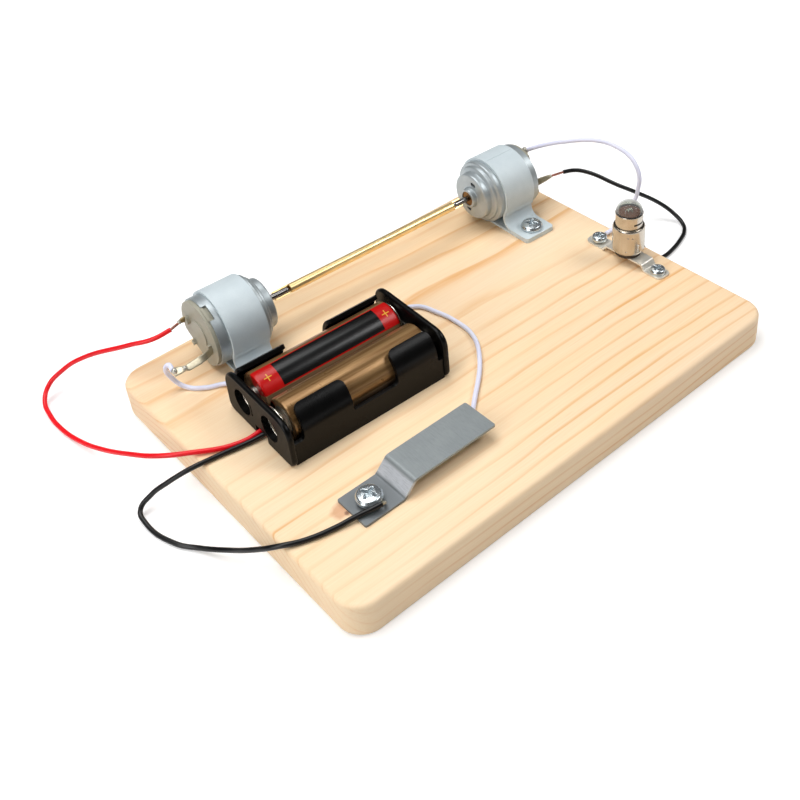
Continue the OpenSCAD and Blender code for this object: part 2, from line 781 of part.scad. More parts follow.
module commutator() {
    slit_w = 0.35;
    sleeve_r = shaft_r + 0.5;
    color(copper)
        difference() {
            union() {
                translate([0, 0, commutator_s]) cylinder(d = commutator_d, h = commutator_l);
                translate([0, 0, commutator_s])
                    cylinder(r = sleeve_r, h = stack_s - commutator_s - seat_gap);
            }
            translate([0, 0, commutator_s - 1]) cylinder(r = shaft_r + run_gap, h = stack_s);
            for (a = [0, 120, 240])
                rotate(a)
                    translate([sleeve_r, -slit_w / 2, commutator_s - 1])
                        cube([commutator_d, slit_w, commutator_l + 2]);
        }
}
module motor_commutator() motor_side() commutator();
module generator_commutator() generator_side() commutator();

// Brass tube over both shafts, half cut away at each end
module drive_tube() {
    reach = tube_right - tube_left;
    color(brass)
        along_shaft()
            rotate(tube_cut_turn)
                translate([0, 0, tube_left])
                    difference() {
                        ring(shaft_r + run_gap, tube_d / 2, reach);
                        translate([0.2, -tube_d, -1])
                            cube([tube_d, 2 * tube_d, tube_left_cut + 1]);
                        translate([0.2, -tube_d, reach - tube_right_cut])
                            cube([tube_d, 2 * tube_d, tube_right_cut + 1]);
                    }
}

// Battery holder
module end_plate_shape() {
    top_r = 4.5;
    low_r = 2.5;
    y = holder_w / 2;
    union() {
        translate([-y, low_r]) square([holder_w, holder_h - low_r - top_r]);
        translate([-y + low_r, 0]) square([holder_w - 2 * low_r, holder_h - top_r]);
        translate([-y + top_r, 0]) square([holder_w - 2 * top_r, holder_h]);
        for (side = [-1, 1]) {
            translate([side * (y - low_r), low_r]) circle(low_r);
            translate([side * (y - top_r), holder_h - top_r]) circle(top_r);
        }
    }
}

// Side wall with its two clips, on the +Y side
module holder_wall() {
    inner_y = wall_y - wall_t;
    clip_l = bay - clip_end_gap - clip_inner;
    fillet_r = 2.5;
    translate([-bay - eps, inner_y, 0]) cube([2 * bay + 2 * eps, wall_t, sill_h]);
    for (side = [0, 1])
        mirror([side, 0, 0]) {
            translate([clip_inner, inner_y, sill_h - eps])
                cube([clip_l, wall_t, cell_z - sill_h + eps]);
            translate([clip_inner, cell_pitch / 2, cell_z])
                rotate([90, 0, 90]) ring(clip_r - wall_t, clip_r, clip_l, clip_turn);
            translate([clip_inner - fillet_r, inner_y, sill_h])
                difference() {
                    cube([fillet_r + eps, wall_t, fillet_r]);
                    translate([0, -1, fillet_r])
                        rotate([-90, 0, 0]) cylinder(r = fillet_r, h = wall_t + 2);
                }
        }
}

module battery_holder() {
    rib_w = 1.4;
    rib_h = 2.8;
    rib_end_gap = 6;
    slot_low_y = -4.4;
    slot_high_y = 2.2;
    slot_top = 3.7;
    slot_reach = 6;
    inner_y = wall_y - wall_t;
    color(black)
        holder_frame()
            difference() {
                union() {
                    for (x = [-holder_l / 2, bay])
                        translate([x, 0, 0])
                            rotate([90, 0, 90]) linear_extrude(plate_t) end_plate_shape();
                    translate([-bay - eps, -inner_y - eps, 0])
                        cube([2 * bay + 2 * eps, 2 * inner_y + 2 * eps, floor_t]);
                    translate([-bay + rib_end_gap, -rib_w / 2, floor_t - eps])
                        cube([2 * (bay - rib_end_gap), rib_w, rib_h + eps]);
                    for (side = [0, 1])
                        mirror([0, side, 0]) holder_wall();
                }
                for (side = [-1, 1])
                    translate([-holder_l / 2 - 1, side * cell_pitch / 2, cell_z])
                        rotate([0, 90, 0]) cylinder(d = plate_hole_d, h = plate_t + 2);
                translate([-holder_l / 2 - 1, slot_low_y, -1])
                    cube([plate_t + slot_reach, slot_high_y - slot_low_y, slot_top + 1]);
            }
}

// Long springs meet the flat ends of the cells, short spirals meet the nubs
back_spring = coil_path(spring_r, spring_tip_r, bay - link_t - spring_wire / 2,
    back_cell_x + cell_body / 2 + spring_wire / 2 + seat_gap, spring_turns);
front_spring = coil_path(spring_r, spring_tip_r, -bay + spring_wire / 2,
    front_cell_x - cell_body / 2 - spring_wire / 2 - seat_gap, spring_turns);
back_spiral = coil_path(spiral_r, spiral_tip_r, -bay + spring_wire / 2,
    -bay + back_nub_gap - spring_wire / 2 - seat_gap, spiral_turns);
front_spiral = coil_path(spiral_r, spiral_tip_r, bay - link_t - spring_wire / 2,
    bay - front_nub_gap + spring_wire / 2 + seat_gap, spiral_turns);
echo(least_gap_of_back_spring = least_gap(back_spring, spring_wire));
echo(least_gap_of_front_spring = least_gap(front_spring, spring_wire));
echo(least_gap_of_back_spiral = least_gap(back_spiral, spring_wire));
echo(least_gap_of_front_spiral = least_gap(front_spiral, spring_wire));

module coil(path, side)
    color(bright)
        holder_frame()
            translate([0, side * cell_pitch / 2, cell_z]) swept_tube(path, spring_wire / 2, 6);
module battery_springs() {
    coil(back_spring, 1);
    coil(front_spring, -1);
}
module battery_spirals() {
    coil(back_spiral, 1);
    coil(front_spiral, -1);
}
module battery_tails()
    color(bright) {
        tail_start = [-bay + spring_wire / 2, cell_pitch / 2, cell_z];
        rod_between(
            in_holder(tail_start - [0, 0, spiral_r]),
            red_route[len(red_route) - 1],
            spring_wire / 2
        );
        rod_between(
            in_holder([tail_start[0], -tail_start[1], tail_start[2] - spring_r]),
            black_switch_route[0],
            spring_wire / 2
        );
    }
module series_link() {
    link_l = cell_pitch + 2 * spiral_r;
    link_w = 4;
    color(bright)
        holder_frame()
            translate([bay - link_t, -link_l / 2, cell_z - link_w / 2]) cube([link_t, link_l, link_w]);
}

// A cell stands on its flat end, with the nub at the top
module cell() {
    edge = 0.7;
    r = cell_d / 2;
    rotate_extrude()
        polygon([
            [0, 0], [r - edge, 0], [r - edge * 0.3, edge * 0.3], [r, edge],
            [r, cell_body - edge], [r - edge * 0.3, cell_body - edge * 0.3], [r - edge, cell_body],
            [nub_d / 2, cell_body], [nub_d / 2, cell_l - 0.3], [nub_d / 2 - 0.3, cell_l], [0, cell_l]
        ]);
}
module back_battery()
    color([0.55, 0.12, 0.1])
        holder_frame()
            translate([back_cell_x + cell_body / 2, cell_pitch / 2, cell_z])
                rotate([0, -90, 0]) cell();
module front_battery()
    color([0.6, 0.42, 0.2])
        holder_frame()
            translate([front_cell_x - cell_body / 2, -cell_pitch / 2, cell_z])
                rotate([0, 90, 0]) cell();

// Switch: one bent strip, parted where it flexes
riser_dir = [cos(riser_turn), sin(riser_turn)];
riser_out = [-sin(riser_turn), cos(riser_turn)] * lever_t / 2;
flex_point = [lever_bend, foot_z] + flex_at * riser_dir;

module lever_profile(points)
    translate([0, lever_y + lever_w / 2, 0]) rotate([90, 0, 0]) linear_extrude(lever_w) polygon(points);
module switch_foot()
    color(zinc)
        difference() {
            lever_profile([
                [lever_left, foot_z - lever_t / 2], [lever_bend + mitre, foot_z - lever_t / 2],
                flex_point - riser_out, flex_point + riser_out,
                [lever_bend - mitre, foot_z + lever_t / 2], [lever_left, foot_z + lever_t / 2]
            ]);
            translate([lever_screw_x, lever_y, foot_z])
                cylinder(d = screw_d + 2 * seat_gap, h = 2 * lever_t, center = true);
            for (side = [0, 1])
                translate([lever_left, lever_y, foot_z])
                    mirror([0, side, 0])
                        translate([0, lever_w / 2, 0]) corner_cutter(lever_tip_r, 3 * lever_t);
        }
module switch_arm() {
    start = flex_point + flex_gap * riser_dir;
    top_x = lever_bend + riser_l;
    color(zinc)
        difference() {
            lever_profile([
                start - riser_out, [top_x + mitre, arm_z - lever_t / 2],
                [lever_right, arm_z - lever_t / 2], [lever_right, arm_z + lever_t / 2],
                [top_x - mitre, arm_z + lever_t / 2], start + riser_out
            ]);
            for (side = [0, 1])
                translate([lever_right, lever_y, arm_z])
                    mirror([0, side, 0])
                        translate([0, lever_w / 2, 0])
                            mirror([1, 0, 0]) corner_cutter(lever_tip_r, 3 * lever_t);
        }
}
module switch_screw()
    color(steel)
        translate([lever_screw_x, lever_y, board_t + lever_t + loop_h])
            pan_screw(screw_head_d, screw_head_h, screw_d, screw_l);
module contact_screw()
    color(steel)
        translate([contact_x, lever_y, board_t + loop_h])
            pan_screw(screw_head_d, screw_head_h, screw_d, screw_l);

// Lamp: bracket, insulating disc, socket and the rivets that hold them
module lamp_bracket() {
    half = bracket_l / 2;
    step = 1.2;
    chamfer = 1.3;
    low = board_t + bracket_t;
    k = bracket_t * tan(atan2(bracket_rise, step) / 2);
    side_top = [[half, low], [bracket_mid + step, low], [bracket_mid, bracket_top]];
    side_low = [
        [bracket_mid - k, bracket_top - bracket_t], [bracket_mid + step - k, low - bracket_t],
        [half, low - bracket_t]
    ];
    outline = concat(
        side_top,
        [for (i = [2 : -1 : 0]) [-side_top[i][0], side_top[i][1]]],
        [for (i = [2 : -1 : 0]) [-side_low[i][0], side_low[i][1]]],
        side_low
    );
    color(bright)
        lamp_frame()
            difference() {
                translate([-bracket_w / 2, 0, 0])
                    rotate([90, 0, 90]) linear_extrude(bracket_w) polygon(outline);
                cylinder(r = hub_r + seat_gap, h = 2 * board_t);
                for (side = [-1, 1]) {
                    translate([0, side * rivet_y, 0])
                        cylinder(r = rivet_r + seat_gap, h = 2 * board_t);
                    translate([0, side * bracket_screw, 0])
                        cylinder(d = small_screw_d + 2 * seat_gap, h = 2 * board_t);
                    for (x = [-1, 1])
                        translate([x * bracket_w / 2, side * half, 0])
                            rotate(45)
                                cube([chamfer * sqrt(2), chamfer * sqrt(2), 4 * board_t], center = true);
                }
            }
}
module lamp_disc()
    color("saddlebrown")
        lamp_frame()
            difference() {
                union() {
                    translate([0, 0, bracket_top]) cylinder(r = disc_r, h = disc_h);
                    translate([0, 0, bracket_top - bracket_t])
                        cylinder(r = hub_r, h = bracket_t + disc_h + socket_wall);
                }
                cylinder(r = contact_r + seat_gap, h = 3 * board_t);
                for (side = [-1, 1])
                    translate([0, side * rivet_y, 0])
                        cylinder(r = rivet_r + seat_gap, h = 3 * board_t);
            }
module lamp_lower_washer()
    color("saddlebrown")
        lamp_frame()
            translate([0, 0, tag_z + tag_t])
                ring(contact_r + seat_gap, rivet_y - 2 * rivet_r - seat_gap,
                    bracket_top - bracket_t - tag_z - tag_t);
module lamp_socket() {
    r = socket_d / 2;
    bore = r - socket_wall;
    lip = 0.35;
    color([0.72, 0.66, 0.52])
        lamp_frame()
            translate([0, 0, socket_z])
                difference() {
                    rotate_extrude($fn = 64)
                        polygon([
                            [hub_r + seat_gap, 0], [r - 0.6, 0], [r - 0.15, 0.2], [r, 0.7],
                            [r, socket_h - 1.9], [r + lip * 0.7, socket_h - 1.5],
                            [r + lip, socket_h - 1.1], [r + lip, socket_h - 0.5],
                            [r + lip * 0.5, socket_h - 0.1], [r, socket_h],
                            [bore + 0.1, socket_h - 0.15], [bore, socket_h - 0.6],
                            [bore, socket_wall], [hub_r + seat_gap, socket_wall]
                        ]);
                    for (side = [-1, 1])
                        translate([0, side * rivet_y, -1]) cylinder(r = rivet_r + seat_gap, h = 2);
                }
}
module lamp_rivets()
    color(bright)
        lamp_frame()
            for (side = [-1, 1])
                translate([0, side * rivet_y, bracket_top - bracket_t - 0.4]) {
                    cylinder(r = 2 * rivet_r, h = 0.4);
                    cylinder(r = rivet_r, h = 0.8 + bracket_t + disc_h + socket_wall);
                    translate([0, 0, 0.4 + bracket_t + disc_h + socket_wall])
                        cylinder(r = 1.5 * rivet_r, h = 0.4);
                }
module lamp_centre_contact()
    color(brass)
        lamp_frame() {
            translate([0, 0, contact_top - 0.9]) cylinder(r = hub_r - 0.1, h = 0.9);
            translate([0, 0, tag_z - 0.4]) cylinder(r = contact_r, h = contact_top - tag_z);
            translate([0, 0, tag_z - 0.4]) cylinder(r = contact_r + 0.6, h = 0.4);
        }
module lamp_tag() {
    tag_l = 7.2;
    tag_w = 2.4;
    color(brass)
        lamp_frame()
            translate([0, 0, tag_z])
                difference() {
                    union() {
                        cylinder(d = 2 * tag_w, h = tag_t);
                        rotate(tag_turn) translate([0, -tag_w / 2, 0]) cube([tag_l, tag_w, tag_t]);
                    }
                    translate([0, 0, -1]) cylinder(r = contact_r + seat_gap, h = 3);
                }
}
module lamp_screws()
    color(steel)
        lamp_frame() {
            translate([0, bracket_screw, board_t + bracket_t + small_loop_h])
                pan_screw(small_head_d, small_head_h, small_screw_d, small_screw_l);
            translate([0, -bracket_screw, board_t + bracket_t])
                pan_screw(small_head_d, small_head_h, small_screw_d, small_screw_l);
        }

// Bulb
module bulb_tip()
    color(bright) lamp_frame() translate([0, 0, bulb_z]) cylinder(r1 = 1, r2 = 1.4, h = 0.6);
module bulb_insulator()
    color(black)
        lamp_frame()
            translate([0, 0, bulb_z + 0.6])
                rotate_extrude() polygon([[0, 0], [1.6, 0], [collar_r, 0.8], [collar_r, 1.4], [0, 1.4]]);
module bulb_cap() {
    r = bulb_d / 2;
    shell = 0.3;
    color([0.72, 0.66, 0.52])
        lamp_frame()
            translate([0, 0, bulb_z + 1.4])
                rotate_extrude()
                    polygon([
                        [collar_r + seat_gap, 0], [r - 0.3, 0], [r, 0.5], [r, bulb_cap_h - 0.25],
                        [r - 0.15, bulb_cap_h], [r - shell, bulb_cap_h], [r - shell, 0.6],
                        [collar_r + seat_gap, 0.6]
                    ]);
}
module bulb_glass() {
    r = glass_d / 2;
    neck = bulb_d / 2 - 0.3 - seat_gap;
    glass_t = 0.5;
    deep = 6.8;
    color([0.8, 0.85, 0.85, 0.4])
        lamp_frame()
            translate([0, 0, rim_z])
                rotate_extrude()
                    polygon(concat(
                        [[0, -deep], [neck, -deep], [neck, 0], [r, 0.05]],
                        [for (a = [15 : 15 : 90]) [r * cos(a), glass_h * sin(a)]],
                        [for (a = [90 : -15 : 0])
                            [(r - glass_t) * cos(a), (glass_h - glass_t) * sin(a)]],
                        [[neck - glass_t, -deep + glass_t], [0, -deep + glass_t]]
                    ));
}
module bulb_filament() {
    post_x = 1.1;
    post_r = 0.15;
    top = 1;
    color(bright)
        lamp_frame() {
            for (side = [-1, 1])
                translate([side * post_x, 0, rim_z - 6.3]) cylinder(r = post_r, h = 6.3 + top);
            translate([-post_x, 0, rim_z + top - post_r])
                rotate([0, 90, 0]) cylinder(r = 0.2, h = 2 * post_x);
        }
}

// Wires: bared ends hooked under the screws, solder on the terminals, then the insulated runs
module hook(centre, z, shank_d, bare, turn, wire_end) {
    hook_span = 290;
    shank_gap = 0.15;
    straight_r = 0.4 * bare;
    r = shank_d / 2 + shank_gap + bare / 2;
    at = [centre[0], centre[1], z + bare / 2 + seat_gap];
    translate(at)
        rotate(turn)
            rotate_extrude(angle = hook_span) translate([r, 0]) circle(d = bare, $fn = 24);
    rod_between(at + r * [cos(turn), sin(turn), 0], wire_end, straight_r);
}
module bared_ends()
    color(copper) {
        hook([lever_screw_x, lever_y], board_t + lever_t, screw_d, bare_d, -85,
            black_switch_route[len(black_switch_route) - 1]);
        hook([contact_x, lever_y], board_t, screw_d, bare_d, 35,
            white_switch_route[len(white_switch_route) - 1]);
        hook([lamp_x, lamp_y + bracket_screw], board_t + bracket_t, small_screw_d, small_bare_d, 10,
            white_lamp_route[len(white_lamp_route) - 1]);
        rod_between(red_start, red_route[0], bare_d / 2);
        rod_between(black_start, black_lamp_route[0], bare_d / 2);
    }
module solder_joints()
    color(bright)
        for (p = [
            [red_start, 1], [white_switch_route[0], 1.1], [white_lamp_route[0], 1],
            [black_start, 1], [black_lamp_route[len(black_lamp_route) - 1], 0.9]
        ])
            translate(p[0]) sphere(r = p[1], $fn = 24);

module wire(route, colour) color(colour) swept_tube(route, wire_d / 2, 8);
module red_wire() wire(red_route, "red");
module black_switch_wire() wire(black_switch_route, black);
module white_switch_wire() wire(white_switch_route, "white");
module white_lamp_wire() wire(white_lamp_route, "white");
module black_lamp_wire() wire(black_lamp_route, black);

base_board();
motor_clamp();
generator_clamp();
clamp_screws();
motor_can();
motor_end_cap();
motor_front_bush();
motor_rear_bush();
motor_magnets();
motor_brushes();
motor_terminals();
motor_shaft();
motor_armature();
motor_windings();
motor_commutator();
generator_can();
generator_end_cap();
generator_front_bush();
generator_rear_bush();
generator_magnets();
generator_brushes();
generator_terminals();
generator_shaft();
generator_armature();
generator_windings();
generator_commutator();
drive_tube();
battery_holder();
battery_springs();
battery_spirals();
battery_tails();
series_link();
back_battery();
front_battery();
switch_foot();
switch_arm();
switch_screw();
contact_screw();
lamp_bracket();
lamp_disc();
lamp_lower_washer();
lamp_socket();
lamp_rivets();
lamp_centre_contact();
lamp_tag();
lamp_screws();
bulb_cap();
bulb_glass();
bulb_insulator();
bulb_tip();
bulb_filament();
bared_ends();
solder_joints();
red_wire();
black_switch_wire();
white_switch_wire();
white_lamp_wire();
black_lamp_wire();
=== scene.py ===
import json
import math
import random

import bmesh
import bpy
from mathutils import Matrix, Vector


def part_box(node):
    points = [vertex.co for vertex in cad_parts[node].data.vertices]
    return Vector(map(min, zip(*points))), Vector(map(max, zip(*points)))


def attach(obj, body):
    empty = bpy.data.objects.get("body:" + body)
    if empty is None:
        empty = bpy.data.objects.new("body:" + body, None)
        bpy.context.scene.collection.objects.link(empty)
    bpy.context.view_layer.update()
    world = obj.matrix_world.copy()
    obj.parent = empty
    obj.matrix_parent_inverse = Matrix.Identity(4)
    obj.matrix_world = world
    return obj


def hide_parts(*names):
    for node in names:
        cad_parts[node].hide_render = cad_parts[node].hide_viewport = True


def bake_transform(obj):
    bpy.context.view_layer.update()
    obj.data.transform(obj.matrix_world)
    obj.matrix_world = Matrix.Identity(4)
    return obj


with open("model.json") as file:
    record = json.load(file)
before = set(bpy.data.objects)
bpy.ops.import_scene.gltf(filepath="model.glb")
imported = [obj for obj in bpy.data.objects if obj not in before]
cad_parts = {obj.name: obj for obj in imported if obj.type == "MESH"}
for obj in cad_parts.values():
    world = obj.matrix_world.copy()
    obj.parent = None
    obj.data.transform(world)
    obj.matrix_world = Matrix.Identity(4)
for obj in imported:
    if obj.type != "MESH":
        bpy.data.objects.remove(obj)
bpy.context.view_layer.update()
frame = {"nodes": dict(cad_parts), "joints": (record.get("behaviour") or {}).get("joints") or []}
random.seed(7)

MM = 0.001


# Frames of the parts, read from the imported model

def node_points(node):
    return [v.co.copy() for v in frame["nodes"][node].data.vertices]


def reach(node, origin, direction):
    """How far a CAD node reaches along a direction, lowest and highest, in millimetres."""
    along = [(p - origin).dot(direction) / MM for p in node_points(node)]
    return min(along), max(along)


def joint(name):
    return next(j for j in frame["joints"] if j["name"] == name)


def frame_of(x_axis, y_axis, z_axis, origin):
    axes = Matrix((x_axis, y_axis, z_axis)).transposed().to_4x4()
    return Matrix.Translation(origin) @ axes


def turned(angle, axis):
    """A turn by an angle in degrees."""
    return Matrix.Rotation(math.radians(angle), 4, axis)


UP = Vector((0, 0, 1))
DRIVE = Vector(joint("shaft_spin")["pos_m"])
ALONG = Vector(joint("shaft_spin")["axis"]).normalized()
ACROSS = UP.cross(ALONG)
BOARD_LOW, BOARD_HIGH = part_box("base_board")
BOARD_T = BOARD_HIGH.z / MM

CAP_LIP = 1.2
MOTOR_U = reach("motor_can", DRIVE, ALONG)[0] - CAP_LIP
GENERATOR_U = reach("generator_can", DRIVE, ALONG)[1] + CAP_LIP
MOTOR = frame_of(ACROSS, UP, ALONG, DRIVE + ALONG * MOTOR_U * MM)
GENERATOR = frame_of(-ACROSS, UP, -ALONG, DRIVE + ALONG * GENERATOR_U * MM)
MOTOR_CLOCK = 17.5
GENERATOR_CLOCK = 99

HOLDER_TURN = -2
HOLDER_ORIGIN = Vector((-37.3, 5.7, BOARD_T)) * MM
HOLDER = Matrix.Translation(HOLDER_ORIGIN) @ turned(HOLDER_TURN, "Z")
LAMP_LOW, LAMP_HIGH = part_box("lamp_socket")
LAMP_X = (LAMP_LOW.x + LAMP_HIGH.x) / 2 / MM
LAMP_Y = (LAMP_LOW.y + LAMP_HIGH.y) / 2 / MM
LAMP = Matrix.Translation((LAMP_X * MM, LAMP_Y * MM, 0))
ROOM = Matrix.Identity(4)


# Shapes

def rounded(points, radius, steps=4, closed=True):
    """The outline with its corners rounded. The radius is one number or one for each corner."""
    n = len(points)
    radii = radius if hasattr(radius, "__len__") else [radius] * n
    out = []
    for i, p in enumerate(points):
        p = Vector(p)
        if radii[i] <= 0 or (not closed and i in (0, n - 1)):
            out.append(p)
            continue
        before = Vector(points[i - 1]) - p
        after = Vector(points[(i + 1) % n]) - p
        room = 0.48 * min(before.length, after.length)
        half = before.angle(after, math.pi) / 2
        if half > math.radians(87):
            out.append(p)
            continue
        t = min(radii[i] / math.tan(half), room)
        a = p + before.normalized() * t
        b = p + after.normalized() * t
        for k in range(steps + 1):
            f = k / steps
            out.append(a.lerp(p, f).lerp(p.lerp(b, f), f))
    return out


def polar(radius, angle):
    """The point at that distance and angle, in degrees."""
    a = math.radians(angle)
    return Vector((radius * math.cos(a), radius * math.sin(a)))


def arc(radius, start, end, steps, centre=(0, 0)):
    """Points on an arc, with angles in degrees."""
    middle = Vector(centre[:2])
    return [middle + polar(radius, start + (end - start) * k / steps) for k in range(steps + 1)]


def circle(radius, centre=(0, 0), sides=24):
    """The points of a whole circle."""
    return arc(radius, 0, 360 - 360 / sides, sides - 1, centre)


def oblong(low, high, radius=0, steps=4):
    """The outline of a rectangle between two corners, with its corners rounded."""
    return rounded([low, (high[0], low[1]), high, (low[0], high[1])], radius, steps)


def ribbon_outline(path, thickness):
    """Outline of a sheet of that thickness whose middle follows the path."""
    left, right = [], []
    n = len(path)
    for i, p in enumerate(path):
        before = (p - path[i - 1]).normalized() if i else None
        after = (path[i + 1] - p).normalized() if i < n - 1 else None
        along = ((before or after) + (after or before)).normalized()
        reach_out = thickness / 2
        if before and after:
            reach_out /= max(0.5, along.dot(after))
        normal = Vector((-along.y, along.x)) * reach_out
        left.append(p + normal)
        right.append(p - normal)
    return left + right[::-1]


def dense(path, step):
    """The same line with points about that step apart."""
    out = []
    for a, b in zip(path, path[1:]):
        count = max(1, int((b - a).length / step))
        out += [a.lerp(b, k / count) for k in range(count)]
    return out + [path[-1]]


def skin(rings, ends=True):
    """Faces from each ring of points to the next, and over both ends."""
    n = len(rings[0])
    verts = [Vector(p) for ring in rings for p in ring]
    faces = [
        [i + k, i + (k + 1) % n, i + n + (k + 1) % n, i + n + k]
        for i in range(0, len(verts) - n, n) for k in range(n)
    ]
    if ends:
        faces += [list(range(n))[::-1], list(range(len(verts) - n, len(verts)))]
    return verts, faces


def lathe(profile, sides=96, closed=True):
    """A profile of (radius, height) points turned about Z."""
    rings = [[(p.x, p.y, z) for p in circle(radius, sides=sides)] for radius, z in profile]
    return skin(rings + rings[:1] if closed else rings, False)


def prism(outline, low, high):
    """A flat outline drawn out along Z."""
    return skin([[(p[0], p[1], z) for p in outline] for z in (low, high)])


def wedge(inner, outer, low, high, start, span, steps=8):
    """A part of a ring, with angles in degrees."""
    outline = arc(outer, start, start + span, steps) + arc(inner, start + span, start, steps)
    return prism(outline, low, high)


def along_x(shape):
    """The shape with its Z laid along X and its outline in the YZ plane."""
    verts, faces = shape
    return [v.zxy for v in verts], faces


def along_y(shape):
    """The shape with its Z laid along Y and its outline in the XZ plane."""
    verts, faces = shape
    return [v.xzy for v in verts], faces


def join(*shapes):
    verts, faces = [], []
    for more_verts, more_faces in shapes:
        start = len(verts)
        verts += more_verts
        faces += [[i + start for i in f] for f in more_faces]
    return verts, faces


def moved(shape, matrix):
    verts, faces = shape
    return [matrix @ v for v in verts], faces


def smooth_path(points, steps=8):
    """A smooth line through the points, with that many steps from one to the next."""
    points = [Vector(p) for p in points]
    ends = [2 * points[0] - points[1]] + points + [2 * points[-1] - points[-2]]
    out = []
    for i in range(1, len(ends) - 2):
        a, b, c, d = ends[i - 1:i + 3]
        for k in range(steps):
            f = k / steps
            out.append(0.5 * (
                2 * b + (c - a) * f + (2 * a - 5 * b + 4 * c - d) * f ** 2
                + (3 * b - a - 3 * c + d) * f ** 3
            ))
    out.append(points[-1])
    return out


def sweep(path, section, up, shares=None):
    """A closed section of (side, up) points carried along a path, scaled by (side, up) shares."""
    rings = []
    side = None
    last = len(path) - 1
    for i, p in enumerate(path):
        along = (path[min(i + 1, last)] - path[max(i - 1, 0)]).normalized()
        across = along.cross(up[i])
        if across.length > 1e-3:
            side = across.normalized()
        top = side.cross(along).normalized()
        wide, thick = shares[i] if shares else (1, 1)
        rings.append([p + side * q[0] * wide + top * q[1] * thick for q in section])
    return skin(rings)


def strip_section(width, thickness, edge):
    w, t = width / 2, thickness / 2
    return oblong((-w, -t), (w, t), min(edge, t * 0.9), 3)


def ball(radius, centre=(0, 0, 0), squash=1.0, rough=0.0, level=3):
    """A round blob, a little uneven."""
    bm = bmesh.new()
    bmesh.ops.create_icosphere(bm, subdivisions=level, radius=radius)
    for v in bm.verts:
        push = 1 + rough * random.uniform(-1, 1)
        v.co = Vector((v.co.x * push, v.co.y * push, v.co.z * push * squash)) + Vector(centre)
    bm.verts.index_update()
    shape = ([v.co.copy() for v in bm.verts], [[v.index for v in f.verts] for f in bm.faces])
    bm.free()
    return shape


# Pieces

def link(name, data, at=ROOM):
    """An object in the scene, in the frame given."""
    obj = bpy.data.objects.new(name, data)
    bpy.context.scene.collection.objects.link(obj)
    obj.matrix_world = at
    return obj


def fill(mesh, source, apart, flat=None):
    """Fills a mesh from another: doubled points merged, flats joined up, faces turned outward."""
    bm = bmesh.new()
    bm.from_mesh(source)
    bmesh.ops.remove_doubles(bm, verts=bm.verts, dist=apart)
    bmesh.ops.delete(bm, geom=[e for e in bm.edges if e.is_wire], context="EDGES")
    if flat:
        bmesh.ops.dissolve_limit(
            bm, angle_limit=math.radians(flat), verts=bm.verts, edges=bm.edges
        )
    bmesh.ops.recalc_face_normals(bm, faces=bm.faces)
    bm.to_mesh(mesh)
    bm.free()


def make(name, shape, material, at=ROOM, sharp=35):
    """A mesh object from a shape in millimetres, shaded smooth up to an angle."""
    verts, faces = shape
    mesh = bpy.data.meshes.new(name)
    mesh.from_pydata([Vector(v) * MM for v in verts], [], faces)
    fill(mesh, mesh, 1e-7)
    mesh.shade_smooth()
    mesh.set_sharp_from_angle(angle=math.radians(sharp))
    mesh.materials.append(material)
    return link(name, mesh, at)


def settle(obj):
    """Turns what the modifiers make into the object's own mesh."""
    bpy.context.view_layer.update()
    graph = bpy.context.evaluated_depsgraph_get()
    mesh = bpy.data.meshes.new_from_object(obj.evaluated_get(graph))
    obj.modifiers.clear()
    old = obj.data
    obj.data = mesh
    bpy.data.meshes.remove(old)
    return obj


def combine(obj, other, operation):
    change = obj.modifiers.new("combine", "BOOLEAN")
    change.operation = operation
    change.solver = "EXACT"
    change.object = other
    settle(obj)
    bpy.data.objects.remove(other)


def carve(obj, shape, operation="DIFFERENCE"):
    """Cuts a closed shape, in the object's own millimetres, out of it, or keeps what is inside."""
    cutter = make("cutter", shape, obj.data.materials[0], obj.matrix_world.copy())
    combine(obj, cutter, operation)
    obj.data.shade_smooth()
    obj.data.set_sharp_from_angle(angle=math.radians(35))


def weld(obj, other):
    """Joins another closed piece to this one."""
    combine(obj, other, "UNION")


def bevel(obj, width, segments, angle):
    edge = obj.modifiers.new("edges", "BEVEL")
    edge.width = width * MM
    edge.segments = segments
    edge.limit_method = "ANGLE"
    edge.angle_limit = math.radians(angle)
    return edge


def keep_flats(obj):
    flats = obj.modifiers.new("flats", "WEIGHTED_NORMAL")
    flats.keep_sharp = True


def eased(obj, width, segments=3):
    """Rounds the sharp edges for good."""
    bevel(obj, width, segments, 40)
    return settle(obj)


def soften(obj, width, angle=32):
    """Rounds the sharp edges a little, and keeps the flats flat."""
    bevel(obj, width, 2, angle).miter_outer = "MITER_ARC"
    keep_flats(obj)
    obj.data.shade_smooth()


def bent_sheet(outline, rows, place, thickness):
    """A flat outline of (along, up) points, cut at the rows and bent by a function that gives
    each height its point and the way out of the sheet."""
    bm = bmesh.new()
    bm.faces.new([bm.verts.new((p[0], p[1], 0)) for p in outline])
    for row in rows:
        bmesh.ops.bisect_plane(
            bm, geom=bm.verts[:] + bm.edges[:] + bm.faces[:], dist=1e-5,
            plane_co=(0, row, 0), plane_no=(0, 1, 0),
        )
    bm.verts.index_update()
    verts = []
    for side in (-0.5, 0.5):
        for v in bm.verts:
            point, out = place(v.co.y)
            where = point + out * side * thickness
            verts.append(Vector((v.co.x, where.x, where.y)))
    n = len(bm.verts)
    faces = [[v.index for v in f.verts] for f in bm.faces]
    faces += [[i + n for i in reversed(f)] for f in faces]
    for e in bm.edges:
        if len(e.link_faces) == 1:
            a, b = (v.index for v in e.verts)
            faces.append([a, b, b + n, a + n])
    bm.free()
    return verts, faces


def seat(obj, slot, *nodes, body="root"):
    """The piece rides on a body and stands for the nodes, which it hides. The slot is not used."""
    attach(obj, body)
    if nodes:
        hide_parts(*nodes)


